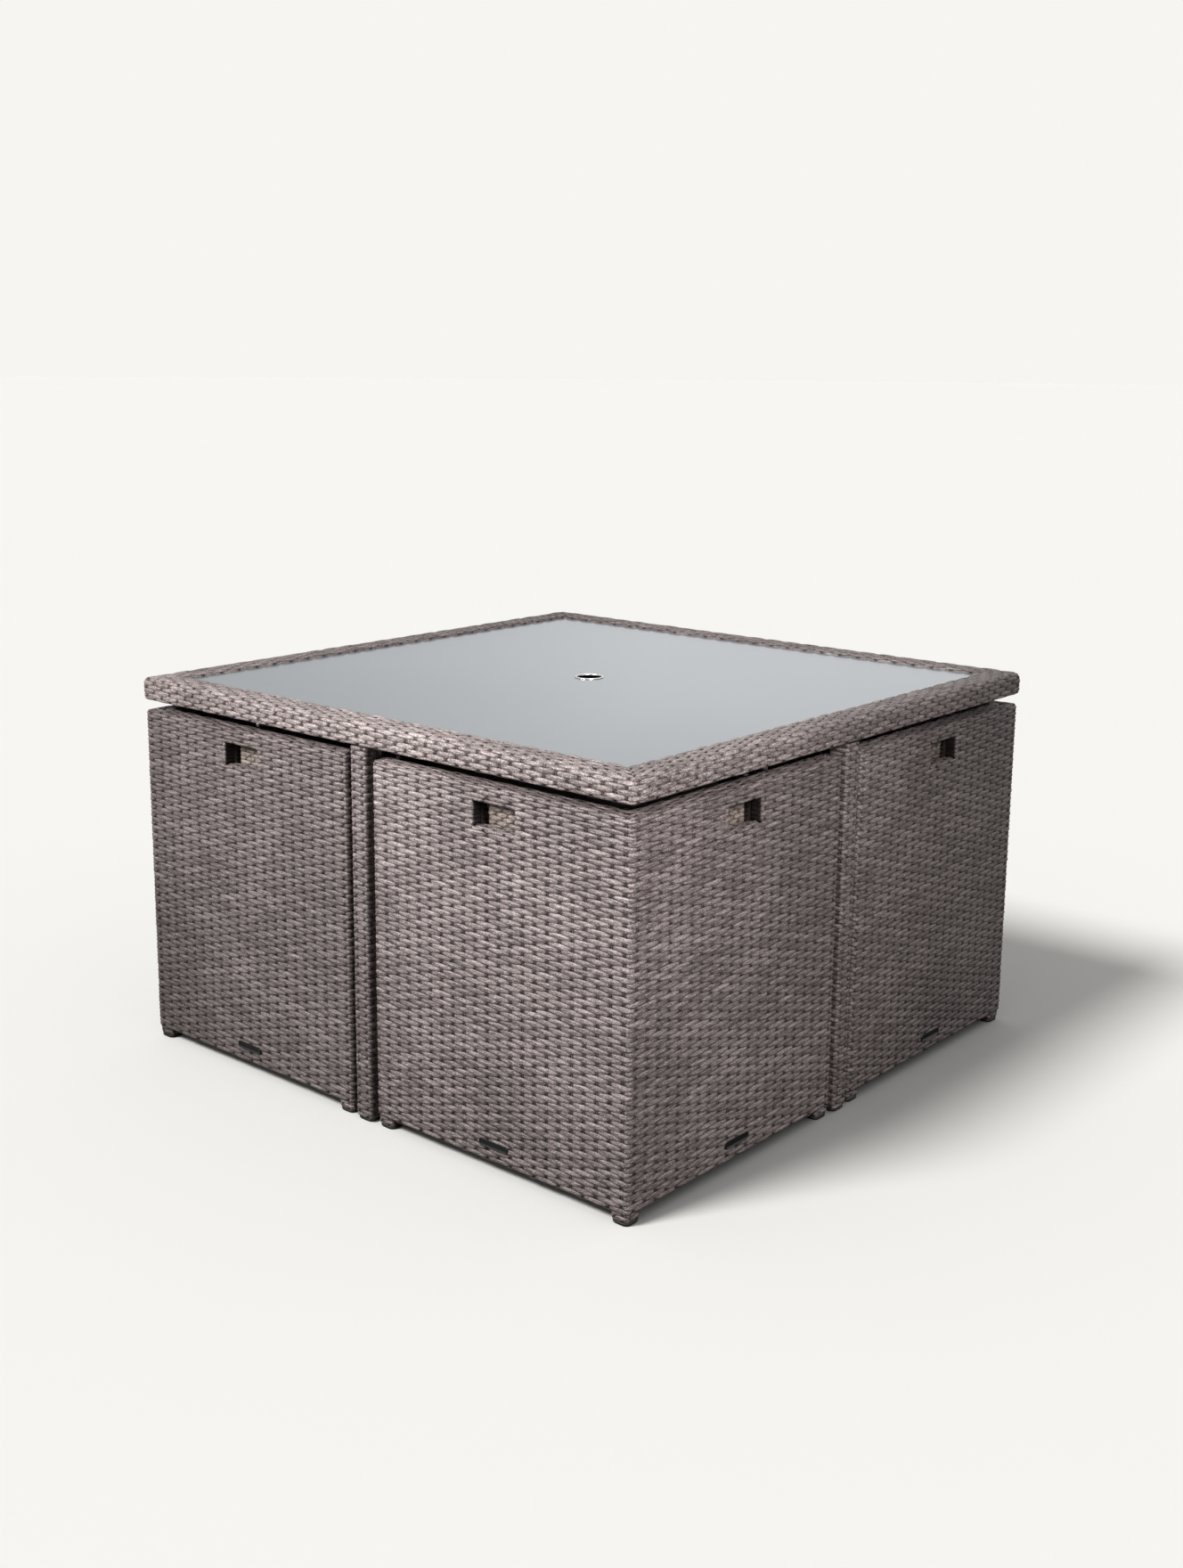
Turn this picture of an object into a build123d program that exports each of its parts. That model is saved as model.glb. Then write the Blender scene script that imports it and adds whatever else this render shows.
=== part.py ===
from build123d import *
import os

os.makedirs("parts", exist_ok=True)

# ---------------------------------------------------------------- driving dimensions (mm)
TABLE_SIDE = 1240.0      # outer side of the square table top
TABLE_HEIGHT = 740.0     # floor to the top of the woven rim
SLAB_THICK = 46.0        # depth of the woven rim
RIM_WIDTH = 61.0         # woven rim, outer edge to the edge of the glass
RIM_SKIN = 6.0           # thickness of the weave on the rim
SLAB_CORNER_R = 20.0     # plan radius of the table top's corners
SLAB_TOP_R = 12.0        # rolled upper edge
SLAB_BOTTOM_R = 10.0     # rolled lower edge

GLASS_SIDE = 1116.0
GLASS_THICK = 5.0
GLASS_TOP = 734.0        # glass lies 6 mm below the top of the rim
PARASOL_R = 24.0         # clear radius for the parasol pole
RING_FLANGE_R = 29.0
RING_NECK_R = 26.0

POST = 42.0              # woven table leg, square
POST_TUBE = 30.0
POST_INSET = 2.0         # leg face behind the edge of the top

CHAIR = 584.0            # side of a chair in plan
CHAIR_TOP = 677.0
CHAIR_INSET = 4.0        # chair face behind the edge of the top
CHAIR_GROUND = 20.0      # weave's lower edge above the floor
WALL = 42.0              # thickness of a chair's wall
SKIN = 6.0               # thickness of the weave
WALL_CORNER_R = 14.0
WALL_TOP_R = 13.0
WALL_END_R = 10.0
TUBE = 30.0              # chair frame tube
TUBE_WALL = 2.0

SLOT_W = 92.0            # hand slot
SLOT_Z0 = 604.0
SLOT_Z1 = 643.0
GRIP_W = 78.0            # woven grip block behind the slot
GRIP_BACK = 27.0         # its face behind the wall's outer face
GRIP_Z0 = 597.0

PLATE_W = 66.0           # small blank plate at the bottom of each wall
PLATE_H = 14.0
PLATE_Z = 52.0
PLATE_T = 1.5

SEAT_TOP = 406.0
SEAT_RAIL_H = 28.0
CUSHION_H = 60.0
CUSHION_R = 36.0

H = TABLE_SIDE / 2
NODES = {}


def bx(x0, x1, y0, y1, z0, z1):
    """Axis-aligned block between two corners."""
    return Pos((x0 + x1) / 2, (y0 + y1) / 2, (z0 + z1) / 2) * Box(abs(x1 - x0), abs(y1 - y0), abs(z1 - z0))


def cyl(x, y, z0, z1, r):
    """Upright round bar."""
    return Pos(x, y, (z0 + z1) / 2) * Cylinder(r, z1 - z0)


def prism(side, z0, z1, r):
    """Square slab centred on the axis, with rounded plan corners."""
    return Pos(0, 0, z0) * extrude(RectangleRounded(side, side, r), amount=z1 - z0)


def square_ring(half_out, half_in, z0, z1):
    return bx(-half_out, half_out, -half_out, half_out, z0, z1) - bx(-half_in, half_in, -half_in, half_in, z0 - 1, z1 + 1)


def one(shape):
    """The single solid of a boolean result."""
    s = shape.solids()
    assert len(s) == 1, len(s)
    return s[0]


def turned(shape, k):
    """The same piece at the k-th quarter turn about the table's axis."""
    return Rot(0, 0, 90 * k) * shape


def edges_at(shape, axis, test, tol=0.05):
    return [e for e in shape.edges().filter_by(axis) if test(e.center())]


# ================================================================ table top
z_top = TABLE_HEIGHT
z_bot = TABLE_HEIGHT - SLAB_THICK
G = H - RIM_WIDTH                     # half side of the glass opening (559)
TUBE_OUT = H - RIM_SKIN               # outer face of the rim tube (614)
TUBE_IN = G + 6.0                     # inner face of the rim tube (565)

slab = prism(TABLE_SIDE, z_bot, z_top, SLAB_CORNER_R)
slab = fillet(slab.faces().sort_by(Axis.Z)[-1].edges(), SLAB_TOP_R)
slab = fillet(slab.faces().sort_by(Axis.Z)[0].edges(), SLAB_BOTTOM_R)

# woven rim: a C-section wrapped round the tube, with a lip that hides the glass edge
rim = slab - prism(2 * G, z_bot - 1, z_top + 1, 6)
rim = rim - square_ring(TUBE_OUT, TUBE_IN, z_bot + RIM_SKIN, z_top - RIM_SKIN)
rim = rim - square_ring(TUBE_IN, G - 8, z_bot - 1, GLASS_TOP - GLASS_THICK - 1.0)
for k in range(4):
    # passage for the leg's tube and its fixing tab through the underside of the weave
    rim = rim - turned(bx(-21, 21, -(H - 7.5), -TUBE_IN + 1, z_bot - 1, z_bot + RIM_SKIN), k)

# rim tube with the ledge that carries the glass
frame_z0, frame_z1 = z_bot + RIM_SKIN, z_top - RIM_SKIN
top_frame = square_ring(TUBE_OUT, TUBE_IN, frame_z0, frame_z1)
top_frame = top_frame - square_ring(TUBE_OUT - 2, TUBE_IN + 2, frame_z0 + 2, frame_z1 - 2)
LEDGE_Z1 = GLASS_TOP - GLASS_THICK - 1.5
LEDGE_IN = 541.0
top_frame = top_frame + square_ring(TUBE_IN, LEDGE_IN, LEDGE_Z1 - 3, LEDGE_Z1)
for k in range(4):
    # vent holes into the closed tube
    for x in (-300, 300):
        top_frame = top_frame - turned(Pos(x, -TUBE_IN - 1, 712) * (Rot(90, 0, 0) * Cylinder(3, 6)), k)

# crossed rails under the glass, with the sleeve that guides the parasol pole
RAIL = 25.0
rail_z1 = LEDGE_Z1 - 3
rail_z0 = rail_z1 - RAIL
cross = cyl(0, 0, z_bot + 2, 720, 32)
inner = None
for k in range(4):
    cross = cross + turned(bx(-RAIL / 2, RAIL / 2, -TUBE_IN, -20, rail_z0, rail_z1), k)
    v = turned(bx(-RAIL / 2 + 2, RAIL / 2 - 2, -TUBE_IN + 2, -34, rail_z0 + 2, rail_z1 - 2), k)
    cross = cross - v
cross = cross - cyl(0, 0, z_bot - 5, 740, PARASOL_R)
cross = cross - cyl(0, 0, 720, 740, RING_NECK_R + 1)
for k in range(4):
    # two screw holes near each end of the cross, through the lower wall
    for d in (520, 550):
        cross = cross - turned(cyl(0, -d, rail_z0 - 1, rail_z0 + 3, 4.2), k)

glass = prism(GLASS_SIDE, GLASS_TOP - GLASS_THICK, GLASS_TOP, 5)
glass = glass - cyl(0, 0, 700, 750, RING_NECK_R + 0.4)
glass = chamfer(glass.faces().sort_by(Axis.Z)[-1].edges(), 0.8)

ring = cyl(0, 0, GLASS_TOP, GLASS_TOP + 2.0, RING_FLANGE_R)
ring = fillet(ring.faces().sort_by(Axis.Z)[-1].edges(), 1.5)
ring = ring + cyl(0, 0, 720, GLASS_TOP, RING_NECK_R)
ring = ring - cyl(0, 0, 700, 760, PARASOL_R)

NODES["table_rim_weave"] = [one(rim)]
NODES["table_rim_frame"] = [one(top_frame)]
NODES["table_cross_rails"] = [one(cross)]
NODES["table_glass"] = [one(glass)]
NODES["parasol_ring"] = [one(ring)]

# clear rubber pads between the glass and its ledge, and taller ones on the crossed rails
pads, rail_pads = [], []
for k in range(4):
    for x in (-400, 0, 400):
        pads.append(turned(cyl(x, -550, LEDGE_Z1, GLASS_TOP - GLASS_THICK, 6), k))
    for d in (180, 360):
        rail_pads.append(turned(cyl(0, -d, rail_z1, GLASS_TOP - GLASS_THICK, 8), k))
NODES["glass_ledge_pads"] = [one(p) for p in pads]
NODES["glass_rail_pads"] = [one(p) for p in rail_pads]

# ================================================================ table legs and base
yo = -(H - POST_INSET)                # outer face of the front leg (-618)
yi = yo + POST                        # inner face (-576)
t0 = (POST - POST_TUBE) / 2           # weave thickness on the leg
ST_Z0, ST_Z1 = 60.0, 85.0             # stretcher height

stretch = cyl(0, 0, ST_Z0, ST_Z1, 44)
for k in range(4):
    stretch = stretch + turned(bx(-12.5, 12.5, yi + 3, -30, ST_Z0, ST_Z1), k)
    stretch = stretch + turned(bx(-20, 20, yi, yi + 3, ST_Z0 - 14, ST_Z1 + 14), k)
for k in range(4):
    stretch = stretch - turned(bx(-10.5, 10.5, yi + 5, -48, ST_Z0 + 2, ST_Z1 - 2), k)
stretch = stretch - cyl(0, 0, ST_Z0 - 5, ST_Z1 + 5, PARASOL_R)
leg_bolts, base_screws, leg_glides = [], [], []


def rod_y(x, z, y0, y1, r):
    return Pos(x, (y0 + y1) / 2, z) * (Rot(90, 0, 0) * Cylinder(r, abs(y1 - y0)))


screw_pts = [(-9, ST_Z0 - 7), (9, ST_Z0 - 7), (-9, ST_Z1 + 7), (9, ST_Z1 + 7)]
for k in range(4):
    for (x, z) in screw_pts:
        stretch = stretch - turned(rod_y(x, z, yi - 1, yi + 4, 2.7), k)

SIDES = ["front", "right", "back", "left"]
for k, side in enumerate(SIDES):
    tube = bx(-POST_TUBE / 2, POST_TUBE / 2, yo + t0, yi - t0, 6, z_bot + RIM_SKIN)
    tube = tube - bx(-POST_TUBE / 2 + 2, POST_TUBE / 2 - 2, yo + t0 + 2, yi - t0 - 2, 5, z_bot + RIM_SKIN - 2)
    tab = bx(-20, 20, yi - t0 - 2, -500, z_bot + 1.5, z_bot + 5.5)
    tube = tube + tab
    for d in (520, 550):
        tube = tube - cyl(0, -d, z_bot - 2, z_bot + 8, 4.3)
    weave = bx(-POST / 2, POST / 2, yo, yi, 6, z_bot)
    weave = fillet(weave.edges().filter_by(Axis.Z), 8)
    weave = weave - bx(-POST_TUBE / 2, POST_TUBE / 2, yo + t0, yi - t0, 0, z_bot + 1)
    for (x, z) in screw_pts:
        weave = weave - rod_y(x, z, yi - t0 - 1, yi + 1, 2.6)
        tube = tube - rod_y(x, z, yi - t0 - 3, yi - t0 + 1, 2.6)
    NODES["table_leg_%s_tube" % side] = [one(turned(tube, k))]
    NODES["table_leg_%s_weave" % side] = [one(turned(weave, k))]
    for d in (520, 550):
        head = cyl(0, -d, z_bot - 4, z_bot + 1.5, 6.5)
        bolt = head + cyl(0, -d, z_bot + 1.5, z_bot + 16, 4.0)
        bolt = bolt - Pos(0, -d, z_bot - 2.5) * extrude(RegularPolygon(3.0, 6), amount=-2)
        leg_bolts.append(one(turned(bolt, k)))
    for (x, z) in screw_pts:
        s = rod_y(x, z, yi + 3, yi + 6, 4.6) + rod_y(x, z, yi - t0 - 6, yi + 3, 2.5)
        base_screws.append(one(turned(s, k)))
    pad = bx(-19, 19, yo + 2, yi - 2, 0, 6)
    pad = fillet(pad.edges().filter_by(Axis.Z), 7)
    pad = fillet(pad.faces().sort_by(Axis.Z)[0].edges(), 2.5)
    pad = pad + bx(-12.6, 12.6, yo + t0 + 2.4, yi - t0 - 2.4, 6, 24)
    leg_glides.append(one(turned(pad, k)))
NODES["table_base_stretcher"] = [one(stretch)]
NODES["table_leg_bolts"] = leg_bolts
NODES["table_base_screws"] = base_screws
NODES["table_leg_glides"] = leg_glides

# ================================================================ chairs
# one corner chair is built in the corner x > 0, y < 0 and turned for the other three
X1 = H - CHAIR_INSET                  # outer faces at x = +616 and y = -616
X0 = X1 - CHAIR                       # open ends at 32
Y0, Y1 = -X1, -X0
CX = (X0 + X1) / 2 - 1.0              # centre of each wall's slot and plate, 323
W = WALL
zc0, zc1 = CHAIR_GROUND, CHAIR_TOP


def mirrored(shape):
    """The same piece on the chair's other wall: reflection in the plane y = -x."""
    return shape.mirror(Plane(origin=(0, 0, 0), z_dir=(1, 1, 0)))


# L-shaped outer weave: outer skin, rolled top, rolled ends and lower edge
body = bx(X0, X1, Y0, Y0 + W, zc0, zc1) + bx(X1 - W, X1, Y0, Y1, zc0, zc1)
body = one(body)
body = fillet(edges_at(body, Axis.Z, lambda c: c.X > X1 - 1 and c.Y < Y0 + 1), WALL_CORNER_R)
body = fillet(edges_at(body, Axis.Z, lambda c: c.X < X0 + 1 or c.Y > Y1 - 1), WALL_END_R)
body = fillet(body.faces().sort_by(Axis.Z)[-1].edges(), WALL_TOP_R - 3)
body = fillet(body.faces().sort_by(Axis.Z)[0].edges(), 4.0)
channel = bx(X0 + SKIN, X1 - SKIN, Y0 + SKIN, Y0 + W + 1, zc0 + SKIN, zc1 - SKIN)
channel = channel - bx(X0, X1 - W, Y0 + W, Y1, zc0, zc1)
channel_b = bx(X1 - W - 1, X1 - SKIN, Y0 + SKIN, Y1 - SKIN, zc0 + SKIN, zc1 - SKIN)
channel_b = channel_b - bx(X0, X1 - W, Y0 + W, Y1, zc0, zc1)
outer = body - channel - channel_b
collar = bx(CX - SLOT_W / 2 - 5, CX + SLOT_W / 2 + 5, Y0 + 3, Y0 + 18, SLOT_Z0 - 5, SLOT_Z1 + 3)
slot = bx(CX - SLOT_W / 2, CX + SLOT_W / 2, Y0 - 5, Y0 + W + 5, SLOT_Z0, SLOT_Z1)
outer = outer + collar + mirrored(collar)
outer = outer - slot - mirrored(slot)
for (x, y) in ((X0 + 21, Y0 + 21), (X1 - 21, Y0 + 21), (X1 - 21, Y1 - 21)):
    # the frame's uprights pass through the lower edge to the feet
    outer = outer - bx(x - TUBE / 2, x + TUBE / 2, y - TUBE / 2, y + TUBE / 2, 0, zc0 + SKIN)

# welded frame, hollow tube, open at the four feet
members = []                          # (block, void)


def member(x0, x1, y0, y1, z0, z1, foot=False):
    members.append((bx(x0, x1, y0, y1, z0, z1),
                    bx(x0 + TUBE_WALL, x1 - TUBE_WALL, y0 + TUBE_WALL, y1 - TUBE_WALL,
                       z0 - 1 if foot else z0 + TUBE_WALL, z1 - TUBE_WALL)))


a0, a1 = Y0 + SKIN, Y0 + SKIN + TUBE          # tube inside the front wall, -610 .. -580
e0, e1 = X0 + SKIN, X0 + SKIN + TUBE          # tube at the open end, 38 .. 68
tz1 = zc1 - SKIN                               # 671
sz1 = SEAT_TOP - SKIN                          # 400, top of the seat rails
sz0 = sz1 - SEAT_RAIL_H
member(e0, e1, a0, a1, 6, tz1, True)                       # end upright, front wall
member(-a1, -a0, a0, a1, 6, tz1, True)                     # corner upright
member(-a1, -a0, -e1, -e0, 6, tz1, True)                   # end upright, side wall
member(e0, e1, -e1, -e0, 6, sz1, True)                     # inner leg
for f in (lambda s: s, mirrored):
    for (z0, z1, ww) in ((SLOT_Z1 + 3, tz1, TUBE), (zc0 + SKIN, zc0 + SKIN + 20, TUBE)):
        b = bx(e0, -a0, a0, a1, z0, z1)
        v = bx(e0 + 2, -a0 - 2, a0 + 2, a1 - 2, z0 + 2, z1 - 2)
        members.append((f(b), f(v)))
    # stays either side of the slot and the bar under it
    for s in (-1, 1):
        xa, xb = CX + s * (SLOT_W / 2 + 5), CX + s * (SLOT_W / 2 + 19)
        lo, hi = min(xa, xb), max(xa, xb)
        members.append((f(bx(lo, hi, a0, a1, SLOT_Z0 - 26, tz1)),
                        f(bx(lo + 2, hi - 2, a0 + 2, a1 - 2, SLOT_Z0 - 24, tz1 - 2))))
    members.append((f(bx(CX - SLOT_W / 2 - 19, CX + SLOT_W / 2 + 19, a0, a1, SLOT_Z0 - 26, SLOT_Z0 - 12)),
                    f(bx(CX - SLOT_W / 2 - 17, CX + SLOT_W / 2 + 17, a0 + 2, a1 - 2, SLOT_Z0 - 24, SLOT_Z0 - 14))))
    # seat rail at the open side, running through the wall to its end upright
    members.append((f(bx(e0, e0 + 28, a0, -e0, sz0, sz1)),
                    f(bx(e0 + 2, e0 + 26, a0 + 2, -e0 - 2, sz0 + 2, sz1 - 2))))
    # seat rail along the inside of the wall
    members.append((f(bx(e0, -a1 - SKIN, Y0 + W, Y0 + W + 28, sz0, sz1)),
                    f(bx(e0 + 2, -a1 - SKIN - 2, Y0 + W + 2, Y0 + W + 26, sz0 + 2, sz1 - 2))))
# two bars under the seat weave
for d in (200.0, 370.0):
    members.append((bx(X0 + d, X0 + d + 20, Y0 + W, -e0, sz1 - 20, sz1),
                    bx(X0 + d + 2, X0 + d + 18, Y0 + W + 2, -e0 - 2, sz1 - 18, sz1 - 2)))
frame = members[0][0]
for b, _ in members[1:]:
    frame = frame + b
for _, v in members:
    frame = frame - v
frame = one(frame)

# flat inner weave that closes both walls from the seat side
lining = bx(X0 + SKIN, X1 - W + SKIN, Y0 + W - SKIN, Y0 + W, zc0 + SKIN, zc1 - SKIN)
lining = lining + bx(X1 - W, X1 - W + SKIN, Y0 + W - SKIN, Y1 - SKIN, zc0 + SKIN, zc1 - SKIN)
win = bx(CX - SLOT_W / 2 - 4, CX + SLOT_W / 2 + 4, Y0 + W - SKIN - 1, Y0 + W + 1, 590, tz1 - TUBE)
lining = lining - win - mirrored(win)
thru = bx(e0, e0 + 28, Y0 + W - SKIN - 1, Y0 + W + 1, sz0, sz1)
lining = lining - thru - mirrored(thru)

grip = bx(CX - GRIP_W / 2, CX + GRIP_W / 2, Y0 + GRIP_BACK, Y0 + W, GRIP_Z0, tz1 - TUBE)
grip = fillet(edges_at(grip, Axis.Z, lambda c: c.Y < Y0 + GRIP_BACK + 1), 5)
plate = Pos(CX, Y0, PLATE_Z) * (Rot(90, 0, 0) * extrude(RectangleRounded(PLATE_W, PLATE_H, 5.5), amount=PLATE_T))
plate = fillet(plate.faces().sort_by(Axis.Y)[0].edges(), 0.6)

# seat weave with lips over the two open sides
seat = bx(X0, X1 - W, Y0 + W, Y1, sz1, SEAT_TOP)
seat = seat + bx(X0, X0 + SKIN, Y0 + W, Y1, sz0 - 6, SEAT_TOP) + bx(X0, X1 - W, Y1 - SKIN, Y1, sz0 - 6, SEAT_TOP)
seat = one(seat)
seat = fillet(edges_at(seat, Axis.Z, lambda c: c.X < X0 + 1 and c.Y > Y1 - 1), 5)

leg_wrap = bx(X0, X0 + 42, Y1 - 42, Y1, 6, sz0 - 6)
leg_wrap = fillet(leg_wrap.edges().filter_by(Axis.Z), 8)
leg_wrap = leg_wrap - bx(e0, e1, -e1, -e0, 0, 500)


def sleeve(cx, cy):
    s = bx(cx - 18.5, cx + 18.5, cy - 18.5, cy + 18.5, 6, zc0)
    s = fillet(s.edges().filter_by(Axis.Z), 6)
    return s - bx(cx - 15, cx + 15, cy - 15, cy + 15, 0, zc0 + 1)


def glide(cx, cy):
    g = bx(cx - 18, cx + 18, cy - 18, cy + 18, 0, 6)
    g = fillet(g.edges().filter_by(Axis.Z), 6)
    g = fillet(g.faces().sort_by(Axis.Z)[0].edges(), 2.5)
    return g + bx(cx - 12.7, cx + 12.7, cy - 12.7, cy + 12.7, 6, 22)


mA, mE = (a0 + a1) / 2, (e0 + e1) / 2
feet = [(mE, mA), (-mA, mA), (-mA, -mE), (mE, -mE)]
cushion = Pos((X0 + X1 - W) / 2, (Y0 + W + Y1) / 2, SEAT_TOP + 0.5) * extrude(
    RectangleRounded(CHAIR - W - 18, CHAIR - W - 18, CUSHION_R), amount=CUSHION_H)
cushion = fillet(cushion.faces().sort_by(Axis.Z)[-1].edges(), 18)
cushion = fillet(cushion.faces().sort_by(Axis.Z)[0].edges(), 12)

chair = {
    "frame": [frame],
    "outer_weave": [one(outer)],
    "inner_weave": [one(lining)],
    "seat_weave": [seat],
    "leg_and_foot_wraps": [one(leg_wrap)] + [one(sleeve(*p)) for p in feet[:3]],
    "hand_grips": [one(grip), one(mirrored(grip))],
    "blank_plates": [one(plate), one(mirrored(plate))],
    "foot_glides": [one(glide(*p)) for p in feet],
    "seat_cushion": [one(cushion)],
}
for k, name in enumerate(["front", "right", "back", "left"]):
    for part, solids in chair.items():
        NODES["chair_%s_%s" % (name, part)] = [turned(s, k) for s in solids]

# ================================================================ write
for name, solids in NODES.items():
    solids = [s.solids()[0] for s in solids]
    export_step(solids[0] if len(solids) == 1 else Compound(children=solids), "parts/%s.step" % name)
print(len(NODES), "nodes")
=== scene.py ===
import math

import bpy
import numpy as np
from mathutils import Matrix, Vector


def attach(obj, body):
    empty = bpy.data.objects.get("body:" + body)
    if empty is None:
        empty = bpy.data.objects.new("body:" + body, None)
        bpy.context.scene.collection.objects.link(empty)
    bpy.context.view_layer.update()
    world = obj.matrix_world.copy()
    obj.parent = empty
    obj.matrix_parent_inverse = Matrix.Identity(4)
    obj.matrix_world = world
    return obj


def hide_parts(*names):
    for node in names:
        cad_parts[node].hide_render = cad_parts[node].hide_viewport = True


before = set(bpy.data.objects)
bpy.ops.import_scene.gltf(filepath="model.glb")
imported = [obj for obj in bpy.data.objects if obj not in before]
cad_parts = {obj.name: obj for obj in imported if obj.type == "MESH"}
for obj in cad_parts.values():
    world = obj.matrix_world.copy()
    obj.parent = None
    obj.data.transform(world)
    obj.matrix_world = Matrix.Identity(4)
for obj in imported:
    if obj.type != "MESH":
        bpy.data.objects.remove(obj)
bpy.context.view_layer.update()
MM = 0.001
scene = bpy.context.scene


# ---------------------------------------------------------------- mesh bins
class Bin:
    """Grows one mesh from grids of points in millimetres, with the weave's own
    coordinates kept as attributes and a flat layout of its own for maps."""

    def __init__(self):
        self.v, self.f, self.sc, self.tone, self.dep, self.uv, self.mi = [], [], [], [], [], [], []
        self.n = 0

    def grid(self, P, sc, tone, dep, uv, mi=0, flip=False, skip=None):
        """P is (rows, n, k, 3): rows of ribbons n long and k across."""
        R, n, k = P.shape[:3]
        idx = np.arange(R * n * k).reshape(R, n, k) + self.n
        a, b, c, d = idx[:, :-1, :-1], idx[:, 1:, :-1], idx[:, 1:, 1:], idx[:, :-1, 1:]
        q = np.stack([a, d, c, b] if flip else [a, b, c, d], -1)
        if skip is not None:
            q = q[~np.broadcast_to(skip, q.shape[:3])]
        self.f.append(q.reshape(-1, 4))
        self.v.append(P.reshape(-1, 3))
        self.sc.append(np.broadcast_to(sc, (R, n, k, 3)).reshape(-1, 3))
        self.tone.append(np.broadcast_to(tone, (R, n, k)).reshape(-1))
        self.dep.append(np.broadcast_to(dep, (R, n, k)).reshape(-1))
        self.uv.append(np.broadcast_to(uv, (R, n, k, 2)).reshape(-1, 2))
        self.mi.append(np.full(len(self.f[-1]), mi))
        self.n += R * n * k

    def mesh(self, name, mats):
        me = bpy.data.meshes.new(name)
        v = np.concatenate(self.v) * MM
        f = np.concatenate(self.f)
        me.vertices.add(len(v))
        me.vertices.foreach_set("co", v.astype(np.float32).ravel())
        me.loops.add(len(f) * 4)
        me.loops.foreach_set("vertex_index", f.astype(np.int32).ravel())
        me.polygons.add(len(f))
        me.polygons.foreach_set("loop_start", np.arange(0, len(f) * 4, 4, dtype=np.int32))
        me.polygons.foreach_set("material_index", np.concatenate(self.mi).astype(np.int32))
        me.update(calc_edges=True)
        me.polygons.foreach_set("use_smooth", np.ones(len(f), bool))
        for key, kind, width, values in (
            ("sc", "FLOAT_VECTOR", "vector", np.concatenate(self.sc)),
            ("tone", "FLOAT", "value", np.concatenate(self.tone)),
            ("dep", "FLOAT", "value", np.concatenate(self.dep)),
        ):
            at = me.attributes.new(key, kind, "POINT")
            at.data.foreach_set(width, values.astype(np.float32).ravel())
        layer = me.uv_layers.new(name="OFBake")
        layer.data.foreach_set("uv", np.concatenate(self.uv)[f.ravel()].astype(np.float32).ravel())
        for m in mats:
            me.materials.append(m)
        me.validate(clean_customdata=False)
        me.update()
        return me


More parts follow.
